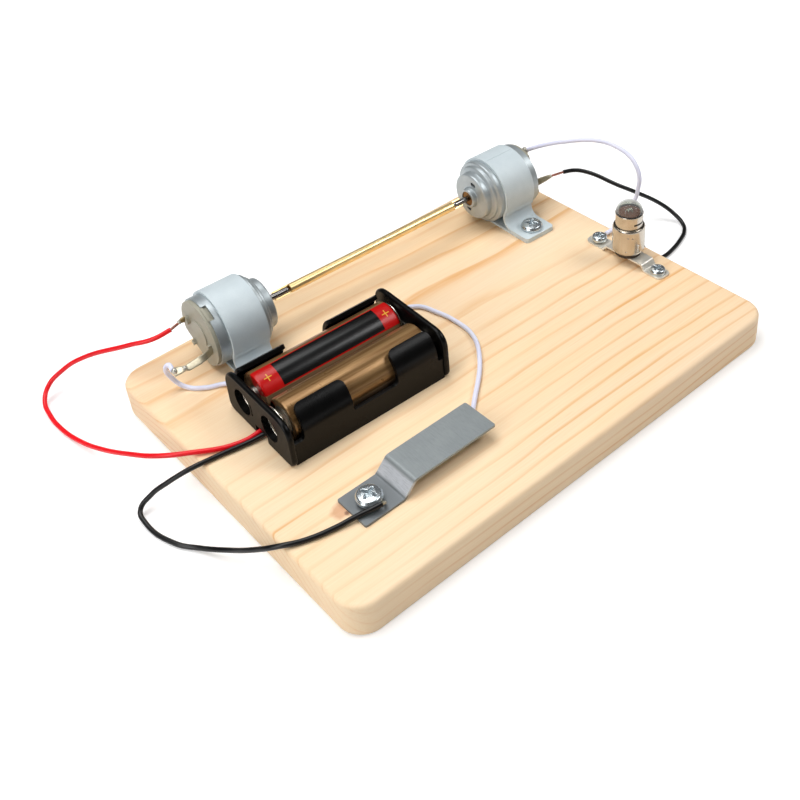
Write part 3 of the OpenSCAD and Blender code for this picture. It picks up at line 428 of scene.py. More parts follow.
def refined(name, node, material, width, slot, body="root"):
    """A copy of a CAD node's form with its flats joined up and its edges softened."""
    mesh = bpy.data.meshes.new(name)
    fill(mesh, frame["nodes"][node].data, 1e-6, 0.6)
    mesh.materials.append(material)
    obj = link(name, mesh)
    soften(obj, width)
    seat(obj, slot, node, body=body)


def dress(node, material):
    """Gives a CAD node that stays in view its material."""
    mesh = frame["nodes"][node].data
    mesh.materials.clear()
    mesh.materials.append(material)


def thread(name, points, radius, material, at=ROOM, smooth=True, sides=4, more=()):
    """A round wire as a curve through the points, with more lines beside it where given."""
    curve = bpy.data.curves.new(name, "CURVE")
    curve.dimensions = "3D"
    curve.bevel_depth = radius * MM
    curve.bevel_resolution = sides
    curve.use_fill_caps = True
    curve.resolution_u = 10
    for line in (points, *more):
        spline = curve.splines.new("BEZIER" if smooth else "POLY")
        knots = spline.bezier_points if smooth else spline.points
        knots.add(len(line) - 1)
        for knot, p in zip(knots, line):
            place = Vector(p) * MM
            knot.co = place if smooth else (*place, 1)
            if smooth:
                knot.handle_left_type = "AUTO"
                knot.handle_right_type = "AUTO"
    curve.materials.append(material)
    return link(name, curve, at)


# Materials

def ink(r, g, b):
    """A colour as it is seen, 0 to 255, as the linear colour that a shader takes."""
    out = []
    for c in (r, g, b):
        c /= 255
        out.append(c / 12.92 if c <= 0.04045 else ((c + 0.055) / 1.055) ** 2.4)
    return (*out, 1.0)


class Nodes:
    """Builds a node tree."""

    def __init__(self, tree):
        self.tree = tree

    def feed(self, socket, value):
        """Gives a socket a link or a value."""
        if isinstance(value, bpy.types.NodeSocket):
            self.tree.links.new(value, socket)
        else:
            socket.default_value = value

    def add(self, kind, *values, **settings):
        """A node of that kind, with its first sockets fed."""
        node = self.tree.nodes.new(kind)
        for key, value in settings.items():
            setattr(node, key, value)
        for socket, value in zip(node.inputs, values):
            self.feed(socket, value)
        return node

    def set(self, node, **values):
        """Feeds a node's sockets by their names, and gives its first output."""
        for socket, value in values.items():
            self.feed(node.inputs[socket.replace("_", " ")], value)
        return node.outputs[0]

    def calc(self, kind, *values):
        return self.add("ShaderNodeMath", *values, operation=kind).outputs[0]

    def plus(self, a, b):
        return self.calc("ADD", a, b)

    def minus(self, a, b):
        return self.calc("SUBTRACT", a, b)

    def times(self, a, b):
        return self.calc("MULTIPLY", a, b)

    def most(self, a, b):
        return self.calc("MAXIMUM", a, b)

    def vector(self, kind, *values):
        """Vector maths: a number for a length or a distance, and a vector for the rest."""
        outputs = self.add("ShaderNodeVectorMath", *values, operation=kind).outputs
        return outputs["Value" if kind in ("LENGTH", "DISTANCE") else "Vector"]

    def spread(self, value, from_low, from_high, to_low, to_high):
        node = self.add("ShaderNodeMapRange", value, from_low, from_high, to_low, to_high)
        return node.outputs[0]


class Finish(Nodes):
    """A Principled material, with textures measured in millimetres of the object's own space."""

    def __init__(self, name, colour, roughness, metallic=0.0, **constants):
        self.material = bpy.data.materials.new(name)
        self.material.use_nodes = True
        self.material.diffuse_color = colour
        super().__init__(self.material.node_tree)
        self.shader = self.tree.nodes["Principled BSDF"]
        self.put(Base_Color=colour, Roughness=roughness, Metallic=metallic, **constants)
        own = self.add("ShaderNodeTexCoord").outputs["Object"]
        scale = self.add("ShaderNodeVectorMath", operation="SCALE")
        self.place = self.set(scale, Vector=own, Scale=1 / MM)

    def put(self, **values):
        self.set(self.shader, **values)

    def axes(self):
        return self.add("ShaderNodeSeparateXYZ", self.place).outputs

    def point(self, x, y, z):
        return self.add("ShaderNodeCombineXYZ", x, y, z).outputs[0]

    def noise(self, size, detail=4.0, stretch=(1, 1, 1), rough=0.55, place=None):
        """Noise whose blotches are about that size, in millimetres."""
        spread = self.vector("MULTIPLY", place or self.place, tuple(s / size for s in stretch))
        node = self.add("ShaderNodeTexNoise")
        return self.set(node, Vector=spread, Scale=1.0, Detail=detail, Roughness=rough)

    def ramp(self, value, stops):
        """Colours or grey levels along a value. Stops are (place, colour or level)."""
        node = self.add("ShaderNodeValToRGB", value)
        elements = node.color_ramp.elements
        while len(elements) < len(stops):
            elements.new(0.5)
        for element, (place, colour) in zip(elements, stops):
            element.position = place
            element.color = colour if hasattr(colour, "__len__") else (colour, colour, colour, 1)
        return node.outputs[0]

    def band(self, value, low, high, soft=0.05):
        """1 where the value lies between low and high, with soft sides."""
        rise = self.spread(value, low - soft, low + soft, 0, 1)
        fall = self.spread(value, high - soft, high + soft, 1, 0)
        return self.times(rise, fall)

    def mix(self, share, a, b, kind="MIX"):
        node = self.add("ShaderNodeMix", share, data_type="RGBA", blend_type=kind)
        self.feed(node.inputs[6], a)
        self.feed(node.inputs[7], b)
        return node.outputs[2]

    def tint(self, colour, value, low, high, share, other, kind="MIX"):
        """Turns a colour towards another, by up to that share as the value goes up."""
        return self.mix(self.spread(value, low, high, 0, share), colour, other, kind)

    def bump(self, height, depth, strength):
        """Relief of that depth, in millimetres."""
        node = self.add("ShaderNodeBump")
        self.put(Normal=self.set(node, Strength=strength, Distance=depth * MM, Height=height))

    def done(self, colour, rough, relief):
        """The material with its colour, a (value, low, high) of roughness and its bump."""
        value, low, high = rough
        self.put(Base_Color=colour, Roughness=self.spread(value, 0, 1, low, high))
        self.bump(*relief)
        return self.material


def pine():
    """Growth rings of a trunk whose heart lies below the board, cut along the grain."""
    f = Finish("pine", ink(248, 220, 180), 0.5, Specular_IOR_Level=0.3)
    heart_y, heart_z = 20.0, -80.0
    lean = 0.03
    ring = 2.7
    x, y, z = f.axes()
    warp = f.noise(70, 1.0, (0.22, 1, 1), 0.4)
    wander = f.times(f.minus(warp, 0.5), 13.0)
    wave = f.times(f.minus(f.noise(16, 2.0, (0.3, 1, 1)), 0.5), 1.6)
    side = f.plus(f.minus(y, heart_y), f.times(x, lean))
    depth = f.minus(z, heart_z)
    radius = f.calc("SQRT", f.plus(f.calc("POWER", side, 2.0), f.calc("POWER", depth, 2.0)))
    count = f.calc("DIVIDE", f.plus(f.plus(radius, wander), wave), ring)
    line = f.ramp(
        f.calc("FRACT", count),
        [(0.0, 0.12), (0.5, 0.0), (0.72, 0.1), (0.9, 1.0), (0.96, 0.85), (1.0, 0.12)],
    )
    each = f.noise(0.8, 0.0, place=f.point(f.calc("FLOOR", count), 0.0, 0.0))
    patch = f.noise(30, 2.0, (0.22, 1, 1))
    strong = f.times(f.spread(each, 0.35, 0.65, 0.35, 1), f.spread(patch, 0.36, 0.66, 0.28, 1))
    strong = f.times(strong, f.spread(f.noise(2.2, 3.0, (0.07, 1, 1)), 0.3, 0.6, 0.55, 1))
    plain = ink(250, 224, 188)
    colour = f.tint(plain, f.noise(48, 2.0, (0.3, 1, 1), 0.4), 0.4, 0.7, 1, ink(250, 219, 178))
    colour = f.tint(colour, f.noise(22, 2.0, (0.16, 1, 1)), 0.5, 0.75, 0.6, ink(246, 221, 192))
    colour = f.mix(f.times(line, strong), colour, ink(228, 170, 102))
    fibre = f.noise(0.45, 3.0, (0.025, 1, 1))
    colour = f.tint(colour, fibre, 0.35, 0.75, 0.22, ink(240, 212, 170), "MULTIPLY")
    flecks = f.noise(0.8, 1.0, (0.07, 1, 1))
    colour = f.tint(colour, flecks, 0.7, 0.85, 0.3, ink(226, 178, 120))
    away = f.point(
        f.calc("DIVIDE", f.plus(x, 65.8), 3.9),
        f.calc("DIVIDE", f.plus(y, 32.6), 3.3),
        f.calc("DIVIDE", f.minus(z, BOARD_T), 30.0),
    )
    knot = f.plus(f.vector("LENGTH", away), f.times(f.noise(3, 2.0), 0.6))
    colour = f.mix(f.spread(knot, 0.9, 1.35, 0.8, 0), colour, ink(213, 160, 122))
    heart = f.vector("DISTANCE", f.place, (-65.6, -34.4, BOARD_T))
    heart = f.plus(heart, f.times(f.noise(1.2, 2.0), 1.2))
    colour = f.mix(f.spread(heart, 0.9, 1.5, 0.8, 0), colour, ink(128, 88, 66))
    return f.done(colour, (fibre, 0.45, 0.6), (fibre, 0.03, 0.3))


def strap_sheet():
    """Dull galvanised sheet, with a fine grain and faint patches."""
    tint, shade = ink(206, 217, 221), ink(194, 206, 211)
    f = Finish("strap_zinc", tint, 0.55, 0.1)
    grain = f.noise(0.35, 4.0, rough=0.7)
    colour = f.tint(tint, f.noise(5, 3.0), 0.35, 0.7, 0.6, shade)
    colour = f.tint(colour, grain, 0.5, 0.8, 0.6, shade)
    return f.done(colour, (grain, 0.47, 0.69), (grain, 0.02, 0.35))


def plated(name, tint, shade, roughness=0.2, lines=(1, 1, 1), size=0.8, metal=1.0, relief=0.003):
    """Plated or drawn metal with faint handling marks."""
    f = Finish(name, tint, roughness, metal)
    smear = f.noise(4, 3.0)
    fine = f.noise(size, 2.0, lines)
    colour = f.tint(tint, smear, 0.4, 0.75, 0.7, shade)
    marks = f.times(f.plus(smear, fine), 0.5)
    return f.done(colour, (marks, roughness * 0.7, roughness * 1.3), (fine, relief, 0.25))


def lever_sheet():
    """Brushed sheet, with painted shade on the foot and painted light on the rise between its
    bends.
    """
    f = Finish("lever_zinc", ink(144, 150, 152), 0.45, 0.35)
    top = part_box("switch_arm")[1].z / MM
    height = f.axes()[2]
    patches = f.noise(5, 3.0)
    grain = f.noise(0.3, 4.0, (1, 0.1, 1), 0.7)
    colour = f.tint(ink(146, 152, 153), patches, 0.35, 0.7, 0.6, ink(134, 141, 143))
    # Painted shade: the foot, low on the board, is darkened.
    foot = f.spread(height, BOARD_T + 0.85, BOARD_T + 1.5, 1, 0)
    colour = f.mix(foot, colour, ink(118, 123, 126))
    # Painted light: the rise between the bends is made lighter.
    rise = f.band(height, BOARD_T + 1.4, top - 0.9, 0.3)
    colour = f.mix(rise, colour, f.mix(patches, ink(208, 211, 216), ink(194, 198, 204)))
    colour = f.tint(colour, grain, 0.45, 0.75, 0.45, ink(122, 128, 131))
    return f.done(colour, (grain, 0.38, 0.55), (grain, 0.02, 0.35))


def moulded(name, tint, shade, roughness, gloss=0.35):
    """Moulded plastic with a fine spark-eroded grain and scuffs."""
    f = Finish(name, tint, roughness, Specular_IOR_Level=gloss)
    grain = f.noise(0.25, 3.0)
    scuffs = f.noise(7, 4.0)
    colour = f.tint(tint, scuffs, 0.45, 0.75, 0.6, shade)
    marks = f.times(f.plus(scuffs, grain), 0.5)
    return f.done(colour, (marks, roughness - 0.08, roughness + 0.1), (grain, 0.012, 0.5))


def insulation(name, tint, shade, roughness=0.3):
    """Extruded wire covering, a little uneven along its length."""
    f = Finish(name, tint, roughness, Specular_IOR_Level=0.4)
    uneven = f.noise(6, 3.0)
    colour = f.tint(tint, uneven, 0.35, 0.7, 0.6, shade)
    fine = f.noise(1.5, 2.0)
    return f.done(colour, (uneven, roughness - 0.05, roughness + 0.12), (fine, 0.02, 0.3))


def jacket(name, bands, up_sign):
    """Foil of a cell. Its own Z runs from the flat end to the nub, and turn 0 is on top."""
    f = Finish(
        name, ink(150, 100, 50), 0.25, Specular_IOR_Level=0.3, Coat_Weight=0.08, Coat_Roughness=0.1
    )
    x, y, z = f.axes()
    colour, printed = bands(f, f.calc("ARCTAN2", y, f.times(x, up_sign)), z)
    f.put(Metallic=f.mix(printed, (0.5, 0.5, 0.5, 1), (0.0, 0.0, 0.0, 1)))
    dents = f.noise(4, 1.0, (1, 1, 0.3))
    return f.done(colour, (f.noise(6, 2.0), 0.24, 0.34), (dents, 0.006, 0.2))


def foil(f):
    """Copper and gold streaks along the cell."""
    streaks = f.noise(1.3, 3.0, (1, 1, 0.04))
    shade = f.tint(ink(116, 84, 48), streaks, 0.35, 0.65, 1, ink(160, 126, 84))
    light = f.noise(5, 2.0, (1, 1, 0.05))
    return f.tint(shade, light, 0.5, 0.72, 0.5, ink(196, 166, 138))


def plus_sign(f, turn, z, at_turn, at_z, arm, half):
    """A plain plus, as the sign of a cell's pole."""
    soft = 0.05
    along = f.calc("ABSOLUTE", f.minus(z, at_z))
    round_it = f.calc("ABSOLUTE", f.times(f.minus(turn, at_turn), CELL_D / 2))
    bars = []
    for a, b in ((along, round_it), (round_it, along)):
        length = f.spread(a, arm - soft, arm + soft, 1, 0)
        bars.append(f.times(length, f.spread(b, half - soft, half + soft, 1, 0)))
    return f.most(*bars)


def back_bands(f, turn, z):
    """A glossy black band with red ends along the top, and foil behind and in front of it."""
    low, high, line = -1.05, 0.15, 0.06
    red = ink(184, 14, 12)
    dark = f.band(turn, low, high, 0.015)
    edge = f.band(turn, low - line, high + line, 0.015)
    far_line = f.band(turn, 0.55, 0.58, 0.01)
    ends = f.most(f.spread(z, 5.6, 5.8, 1, 0), f.spread(z, 42.6, 42.8, 0, 1))
    colour = f.mix(f.most(edge, far_line), foil(f), red)
    colour = f.mix(dark, colour, ink(5, 5, 5))
    colour = f.mix(f.times(ends, edge), colour, red)
    for place in (46, 2.9):
        sign = plus_sign(f, turn, z, -0.42, place, 1.3, 0.16)
        colour = f.mix(sign, colour, ink(222, 168, 60))
    return colour, edge


def front_bands(f, turn, z):
    """Foil, with a thin red line and a black band on the side towards the other cell."""
    widening = f.plus(turn, f.spread(z, 12, 50, 0, 0.2))
    colour = f.mix(f.band(widening, 0.95, 1.2, 0.012), foil(f), ink(190, 28, 20))
    dark = f.band(turn, 1.0, 2.4, 0.03)
    return f.mix(dark, colour, ink(5, 5, 5)), dark


def glass():
    """Thin clear glass: it lets light straight through and mirrors more towards its edge."""
    f = Finish("bulb_glass", (1, 1, 1, 1), 0.03, Specular_IOR_Level=0.6)
    wave = f.noise(2.5, 2.0)
    f.bump(wave, 0.03, 0.3)
    tint = f.ramp(wave, [(0.3, ink(232, 233, 228)), (0.7, ink(220, 223, 218))])
    clear = f.add("ShaderNodeBsdfTransparent", tint).outputs[0]
    facing = f.add("ShaderNodeLayerWeight", 0.35).outputs["Facing"]
    share = f.spread(facing, 0.25, 1.0, 0.06, 0.75)
    both = f.add("ShaderNodeMixShader", share, clear, f.shader.outputs[0]).outputs[0]
    f.feed(f.tree.nodes["Material Output"].inputs["Surface"], both)
    return f.material


def wound_copper():
    f = Finish("winding", ink(150, 82, 46), 0.3, 0.85)
    wire_pitch = 0.35
    # Painted shade and highlight: each turn is lighter along its crest and darker in the groove
    # between turns.
    wires = f.calc("SINE", f.times(f.axes()[2], 2 * math.pi / wire_pitch))
    f.put(Base_Color=f.tint(ink(92, 44, 26), wires, -1, 1, 1, ink(182, 104, 60)))
    f.bump(wires, 0.05, 0.6)
    return f.material


CELL_D = 14.2

PINE = pine()
STRAP = strap_sheet()
LEVER = lever_sheet()
SCREW = plated("screw_zinc", ink(196, 204, 208), ink(176, 184, 189), 0.26, metal=0.85, relief=0.0)
CAN = plated("can_zinc", ink(178, 186, 189), ink(160, 169, 173), 0.42, (0.1, 0.1, 1.5), metal=0.6)
CAP = moulded("cap_plastic", ink(163, 160, 144), ink(149, 147, 130), 0.45)
BRONZE = plated("bronze", ink(128, 94, 52), ink(84, 58, 32), 0.35)
FERRITE = moulded("ferrite", ink(46, 45, 46), ink(60, 58, 58), 0.7)
COPPER = plated("copper", ink(178, 106, 82), ink(132, 74, 56), 0.34)
WINDING = wound_copper()
TINNED = plated("tinned_strip", ink(190, 182, 160), ink(156, 146, 120), 0.34, metal=0.6)
TARNISHED = plated("tarnished_tin", ink(180, 162, 122), ink(136, 116, 80), 0.36, metal=0.5)
SHAFT = plated("shaft_steel", ink(150, 148, 146), ink(100, 98, 98), 0.24)
STACK = plated("lamination", ink(104, 102, 100), ink(74, 70, 68), 0.4, (0.1, 0.1, 6), 0.5)
BRASS = plated("tube_brass", ink(255, 226, 166), ink(244, 202, 132), 0.32, (0.05, 1, 1), metal=0.8)
HOLDER_BLACK = moulded("holder_plastic", ink(8, 8, 8), ink(12, 11, 11), 0.28, gloss=0.14)
# A rougher copy of the holder plastic, a little lighter in colour: the lighter colour is painted
# light on the plates' outer end faces.
HOLDER_PAINTED_LIGHT_FACE = moulded("holder_painted_light_face", ink(16, 15, 15), ink(22, 21, 20), 0.5, gloss=0.16)
SPRING = plated(
    "spring_nickel", ink(226, 222, 210), ink(196, 190, 176), 0.26, metal=0.9, relief=0.001
)
NICKEL = plated("lamp_nickel", ink(232, 228, 217), ink(212, 207, 196), 0.34, metal=0.45)
CELL_END = plated("cell_end", ink(150, 146, 138), ink(118, 114, 106), 0.42, relief=0.0)
FIBRE = moulded("fibre", ink(66, 54, 46), ink(48, 40, 34), 0.6)
SOCKET = plated(
    "socket_nickel", ink(204, 196, 184), ink(182, 172, 156), 0.24, metal=0.9, relief=0.001
)
VITRITE = moulded("vitrite", ink(24, 22, 24), ink(34, 32, 34), 0.2)
SOLDER = plated("solder", ink(196, 193, 182), ink(152, 146, 130), 0.3, metal=0.6)
TUNGSTEN = plated("filament_wire", ink(236, 234, 228), ink(200, 196, 186), 0.2)
GLASS = glass()
BEAD = moulded("bulb_bead", ink(142, 84, 62), ink(96, 54, 42), 0.4)
STRANDS = plated("bare_strands", ink(190, 128, 112), ink(150, 120, 104), 0.34)
RED = insulation("red_pvc", ink(242, 20, 32), ink(226, 14, 26))
BLACK = insulation("black_pvc", ink(13, 13, 14), ink(20, 20, 21), 0.28)
WHITE = insulation("white_pvc", ink(230, 231, 250), ink(221, 223, 247), 0.4)
BACK_JACKET = jacket("back_jacket", back_bands, 1.0)
FRONT_JACKET = jacket("front_jacket", front_bands, -1.0)


# Camera, floor and lights

def add_camera():
    azimuth, elevation, roll = -38.196, 35.231, -4.709
    data = bpy.data.cameras.new("camera")
    data.sensor_width = 36
    data.lens = 50.387
    data.shift_x = -0.0475
    data.shift_y = -0.1939
    data.clip_start = 0.01
    place = Matrix.Translation((-0.169881, -0.216493, 0.245071))
    turn = turned(azimuth, "Z") @ turned(90 - elevation, "X") @ turned(roll, "Z")
    bpy.context.scene.camera = link("camera", data, place @ turn)


def seen_rays(n):
    """1 for camera, mirror and glass rays, which see the plain white background."""
    path = n.add("ShaderNodeLightPath").outputs
    return n.most(n.most(path["Is Camera Ray"], path["Is Glossy Ray"]), path["Is Transmission Ray"])


def add_world():
    """Soft light from all round. Seen rays meet white, which fades to grey overhead."""
    world = bpy.data.worlds.new("studio")
    bpy.context.scene.world = world
    world.use_nodes = True
    n = Nodes(world.node_tree)
    place = n.add("ShaderNodeTexCoord").outputs["Generated"]
    height = n.add("ShaderNodeSeparateXYZ", place).outputs["Z"]
    seen = n.spread(height, 0.3, 0.62, 1.0, 0.55)
    n.set(n.tree.nodes["Background"], Strength=n.spread(seen_rays(n), 0, 1, 0.62, seen))


def add_floor():
    half = 3000
    corners = [(-half, -half, 0), (half, -half, 0), (half, half, 0), (-half, half, 0)]
    material = bpy.data.materials.new("floor")
    material.use_nodes = True
    n = Nodes(material.node_tree)
    n.tree.nodes.clear()
    matt = n.add("ShaderNodeBsdfDiffuse", (0.8, 0.8, 0.8, 1)).outputs[0]
    glow = n.set(n.add("ShaderNodeEmission"), Strength=n.times(seen_rays(n), 0.35))
    n.add("ShaderNodeOutputMaterial", n.add("ShaderNodeAddShader", matt, glow).outputs[0])
    make("floor", (corners, [[0, 1, 2, 3]]), material)


def add_light(name, place, target, size, power):
    data = bpy.data.lights.new(name, "AREA")
    data.shape = "RECTANGLE"
    data.size, data.size_y = size
    data.energy = power
    place = Vector(place)
    turn = (Vector(target) - place).to_track_quat("-Z", "Y").to_matrix().to_4x4()
    link(name, data, Matrix.Translation(place) @ turn)


bpy.context.scene.view_settings.view_transform = "Standard"
add_camera()
add_world()
add_floor()
add_light("overhead", (-0.1, 0.25, 0.9), (0, 0, 0), (0.9, 0.6), 7.4)
add_light("left", (-0.9, -0.1, 0.5), (0, 0, 0.02), (0.4, 0.7), 4.4)
add_light("right", (0.56, -0.46, 0.8), (0, 0, 0.02), (0.5, 0.35), 4.2)


# Wires: the routes of the part's source, a little nearer to the photo at some ends

WIRE_D = 1.55
RED_ROUTE = [
    (-66.5, 54, 25.7), (-72, 56, 24), (-78, 62, 21.5), (-90, 78, 13), (-95, 82.5, 8.5),
    (-100, 84, 4.5), (-103.5, 81, 2), (-105, 74.5, 1), (-105, 65.5, 0.8), (-103.5, 56, 1.5),
    (-101, 44.5, 4.5), (-97, 31.5, 9), (-93, 22.5, 12), (-86, 15.5, 13.2), (-72.5, 8.4, 12.9),
    (-66, 7.2, 14), (-63.6, 7.6, 14.4),
]
BLACK_SWITCH_ROUTE = [
    (-63.7, 5.2, 14.4), (-66.5, 5.8, 13.5), (-80, 8.5, 12.9), (-88, 10, 12.6), (-95, 13.5, 9),
    (-99.5, 16.5, 5), (-103.5, 16.5, 2), (-104.5, 12.5, 0.9), (-102, -0.5, 0.8), (-98, -7, 1.2),
    (-93.5, -15, 3.5), (-90, -24, 8.5), (-85.5, -31.5, 12.8), (-79.5, -34.7, 12.9),
    (-70.5, -37.3, 13.2), (-66.9, -38, 13.5), (-63.3, -38.9, 13.9), (-60.6, -40.05, 14.6),
    (-58, -40.7, 14.9),
]
WHITE_SWITCH_ROUTE = [
    (-75.3, 38.1, 24), (-74.8, 41.4, 24), (-75.5, 42.8, 22.4), (-74, 43.6, 16.5), (-71.4, 41.2, 13),
    (-67, 36.5, 12.8), (-61.8, 33.5, 13), (-58.5, 28, 14.2), (-54.5, 24.6, 14.7),
    (-49.8, 23.8, 14.6), (-42.3, 24.6, 14.5), (-37, 25.5, 12.9), (-23, 26, 12.8),
    (-8, 24.5, 12.8), (5, 20.5, 12.8), (8, 13, 12.8), (9.2, 5, 12.8), (8.5, -3.5, 12.8),
    (3.5, -12.5, 12.8), (-13, -28, 12.8), (-19, -33, 12.8),
]
WHITE_LAMP_ROUTE = [
    (79.1, 42.8, 31.9), (80.4, 39.5, 33.9), (83.2, 34, 36.5), (86, 28.5, 38.4), (90, 24, 39),
    (93.5, 19, 39), (95, 13, 38.5), (95.5, 7.5, 37), (95.4, 4, 34.5), (95, 1.7, 30.5),
    (94.6, 1.7, 26), (94.2, 2.6, 21), (91.5, 3.2, 17), (86.5, 2.8, 15), (82.6, 2.8, 13.6),
    (79.4, 3.1, 13.15),
]
BLACK_LAMP_ROUTE = [
    (86.7, 31, 24), (90, 29.2, 24), (93.6, 26.5, 23), (102, 17, 17), (107, 13, 13.5),
    (115.5, 7.2, 6.5), (118, 3.2, 3), (117.5, -1.5, 1), (114, -5.2, 0.8), (108, -7.9, 0.8),
    (102, -9.5, 0.8), (97, -10.2, 0.9), (92.5, -10.2, 2), (89, -9.2, 5), (87, -7.6, 9.2),
    (86, -6.2, 12.4), (84.4, -5.6, 13.4), (82.3, -6.2, 13.4),
]


def wire(name, route, material, slot, node):
    """One insulated wire, both ends of which go back into the object."""
    piece = thread(name, route, WIRE_D / 2, material, sides=5)
    seat(piece, slot, node)


wire("red_lead", RED_ROUTE, RED, "red_pvc", "red_wire")
wire("black_lead", BLACK_SWITCH_ROUTE, BLACK, "black_pvc", "black_switch_wire")
wire("white_lead", WHITE_SWITCH_ROUTE, WHITE, "white_pvc", "white_switch_wire")
wire("white_lamp_lead", WHITE_LAMP_ROUTE, WHITE, "white_pvc", "white_lamp_wire")
wire("black_lamp_lead", BLACK_LAMP_ROUTE, BLACK, "black_pvc", "black_lamp_wire")


# Board

def board():
    low, high = BOARD_LOW / MM, BOARD_HIGH / MM
    corner, edge, steps = 8.0, 1.5, 6
    profile = arc(edge, -90, 0, steps, (corner - edge, edge))
    profile += arc(edge, 0, 90, steps, (corner - edge, high.z - edge))
    half_x, half_y = (high.x - low.x) / 2 - corner, (high.y - low.y) / 2 - corner
    rings = []
    for r, z in profile:
        ring = []
        for sx, sy, start in ((1, 1, 0), (-1, 1, 90), (-1, -1, 180), (1, -1, 270)):
            centre = (sx * half_x, sy * half_y)
            ring += [(p.x, p.y, z) for p in arc(r, start, start + 90, 12, centre)]
        rings.append(ring)
    centre = (BOARD_LOW + BOARD_HIGH) / 2
    piece = make("board", skin(rings), PINE, Matrix.Translation((centre.x, centre.y, 0)), 60)
    seat(piece, "pine", "base_board")


board()


# Clamps

CAN_R = 11.7
CLAMP_T = 0.9
CLAMP_REACH = 22.8
CLAMP_BEND = 3.5
CLAMP_SCREW_V = 18.0
SCREW_HOLE = 3.3


def clamp(name, node, seam=None):
    """A strap that lies on the board, goes round the can and comes back onto its own end."""
    low, high = reach(node, DRIVE, ALONG)
    mid = CAN_R + CLAMP_T / 2
    bend = CLAMP_BEND + CLAMP_T / 2
    top_y = -CAN_R + CLAMP_T / 2 + 0.04
    bend_y = top_y + bend
    bend_x = -math.sqrt((mid + bend) ** 2 - bend_y ** 2)
    leave = math.degrees(math.atan2(-bend_y, -bend_x))
    path = [Vector((-CLAMP_REACH, -mid)), Vector((-8, -mid)), Vector((-1, -mid))]
    path += arc(mid, -90, 180 + leave, 90)
    path += arc(bend, leave, -90, 12, (bend_x, bend_y))
    path += [Vector((bend_x - 3, top_y)), Vector((-CLAMP_REACH, top_y))]
    strap = prism(ribbon_outline(path, CLAMP_T), low, high)
    piece = make(name, strap, STRAP, frame_of(ACROSS, UP, ALONG, DRIVE))
    centre = Matrix.Translation((-CLAMP_SCREW_V, -CAN_R, (low + high) / 2))
    hole = prism(circle(SCREW_HOLE / 2), -2, 2)
    carve(piece, moved(hole, centre @ turned(90, "X")))
    tip = 1.5
    plan = oblong((-CLAMP_REACH, low), (CAN_R + 2, high), [tip, 0, 0, tip], 5)
    carve(piece, along_y(prism(plan, -20, 20)), "INTERSECT")
    if seam:
        out = CAN_R + CLAMP_T
        carve(piece, wedge(out - 0.15, out + 0.5, low + 0.7, high - 0.7, seam, 0.6, 1))
    soften(piece, 0.13, 40)
    seat(piece, "zinc_sheet", node)


clamp("motor_strap", "motor_clamp")
clamp("generator_strap", "generator_clamp", 95.2)


# Screws: head diameter, head height, shank diameter and length

BIG_SCREW = (8, 2.2, 3.2, 9)
SMALL_SCREW = (5.5, 1.9, 2.2, 8)


def pan_screw(name, at, size, turn, node):
    """A domed head with a cross recess, its underside at the place given."""
    head_d, head_h, shank_d, length = size
    r = head_d / 2
    head = rounded(
        [(shank_d / 2, 0), (r * 0.98, 0), (r, head_h * 0.45), (r * 0.86, head_h * 0.84),
         (r * 0.5, head_h * 0.98), (0, head_h)],
        [0, 0.15, 0.4, 0.6, 1.0, 0], 5, closed=False,
    )
    sharp_end = 1.8
    line = [Vector((0, -length)), Vector((shank_d / 2, -length + sharp_end))] + dense(head, 0.07)
    verts, faces = lathe(line, 128, closed=False)
    wing, half, soft, deep = head_d * 0.27, head_d * 0.085, head_d * 0.03, head_h * 0.6
    straighten = Matrix.Rotation(math.radians(-turn), 2)
    for v in verts:
        if v.z < head_h * 0.6:
            continue
        p = straighten @ v.xy
        sink = 0
        for along, across in ((abs(p.x), abs(p.y)), (abs(p.y), abs(p.x))):
            inside = min(1, max(0, (half - 0.15 * along - across) / soft + 0.5))
            inside *= min(1, max(0, (wing - along) / (3 * soft) + 0.5))
            sink = max(sink, inside * inside * (3 - 2 * inside))
        v.z -= sink * deep
    piece = make(name, (verts, faces), SCREW, Matrix.Translation(at), 75)
    seat(piece, "screw_zinc", node)


def screws():
    for name, node, turn in (
        ("motor_strap_screw", "motor_clamp", 12), ("generator_strap_screw", "generator_clamp", 35)
    ):
        low, high = reach(node, DRIVE, ALONG)
        at = DRIVE + ALONG * (low + high) / 2 * MM - ACROSS * CLAMP_SCREW_V * MM
        at.z = (BOARD_T + 2 * CLAMP_T + 0.05) * MM
        pan_screw(name, at, BIG_SCREW, turn, "clamp_screws")
    for name, node, turn in (
        ("switch_foot_screw", "switch_screw", 22), ("contact_stud", "contact_screw", 50)
    ):
        low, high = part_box(node)
        at = (low + high) / 2
        at.z = high.z - BIG_SCREW[1] * MM
        pan_screw(name, at, BIG_SCREW, turn, node)
    low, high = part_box("lamp_screws")
    for name, y, top, turn in (
        ("lamp_left_screw", high.y - 2.5 * MM, high.z, 30),
        ("lamp_right_screw", low.y + 2.5 * MM, high.z - 0.8 * MM, 8),
    ):
        at = Vector((LAMP_X * MM, y, top - SMALL_SCREW[1] * MM))
        pan_screw(name, at, SMALL_SCREW, turn, "lamp_screws")


screws()


# Motors

RIM = CAP_LIP
SHOULDER = RIM + 18.2
FRONT = SHOULDER + 4.2
BOSS_END = FRONT + 1.8
NOSE_R = 8.7
BORE_R = CAN_R - 0.8
BOSS_R = 3.55
BUSH_R = 2.75
WINDOW_TURN = 99.5
WINDOW_SPAN = 28
SLOT_TURN = -24
SLOT_PLACE = 5.7


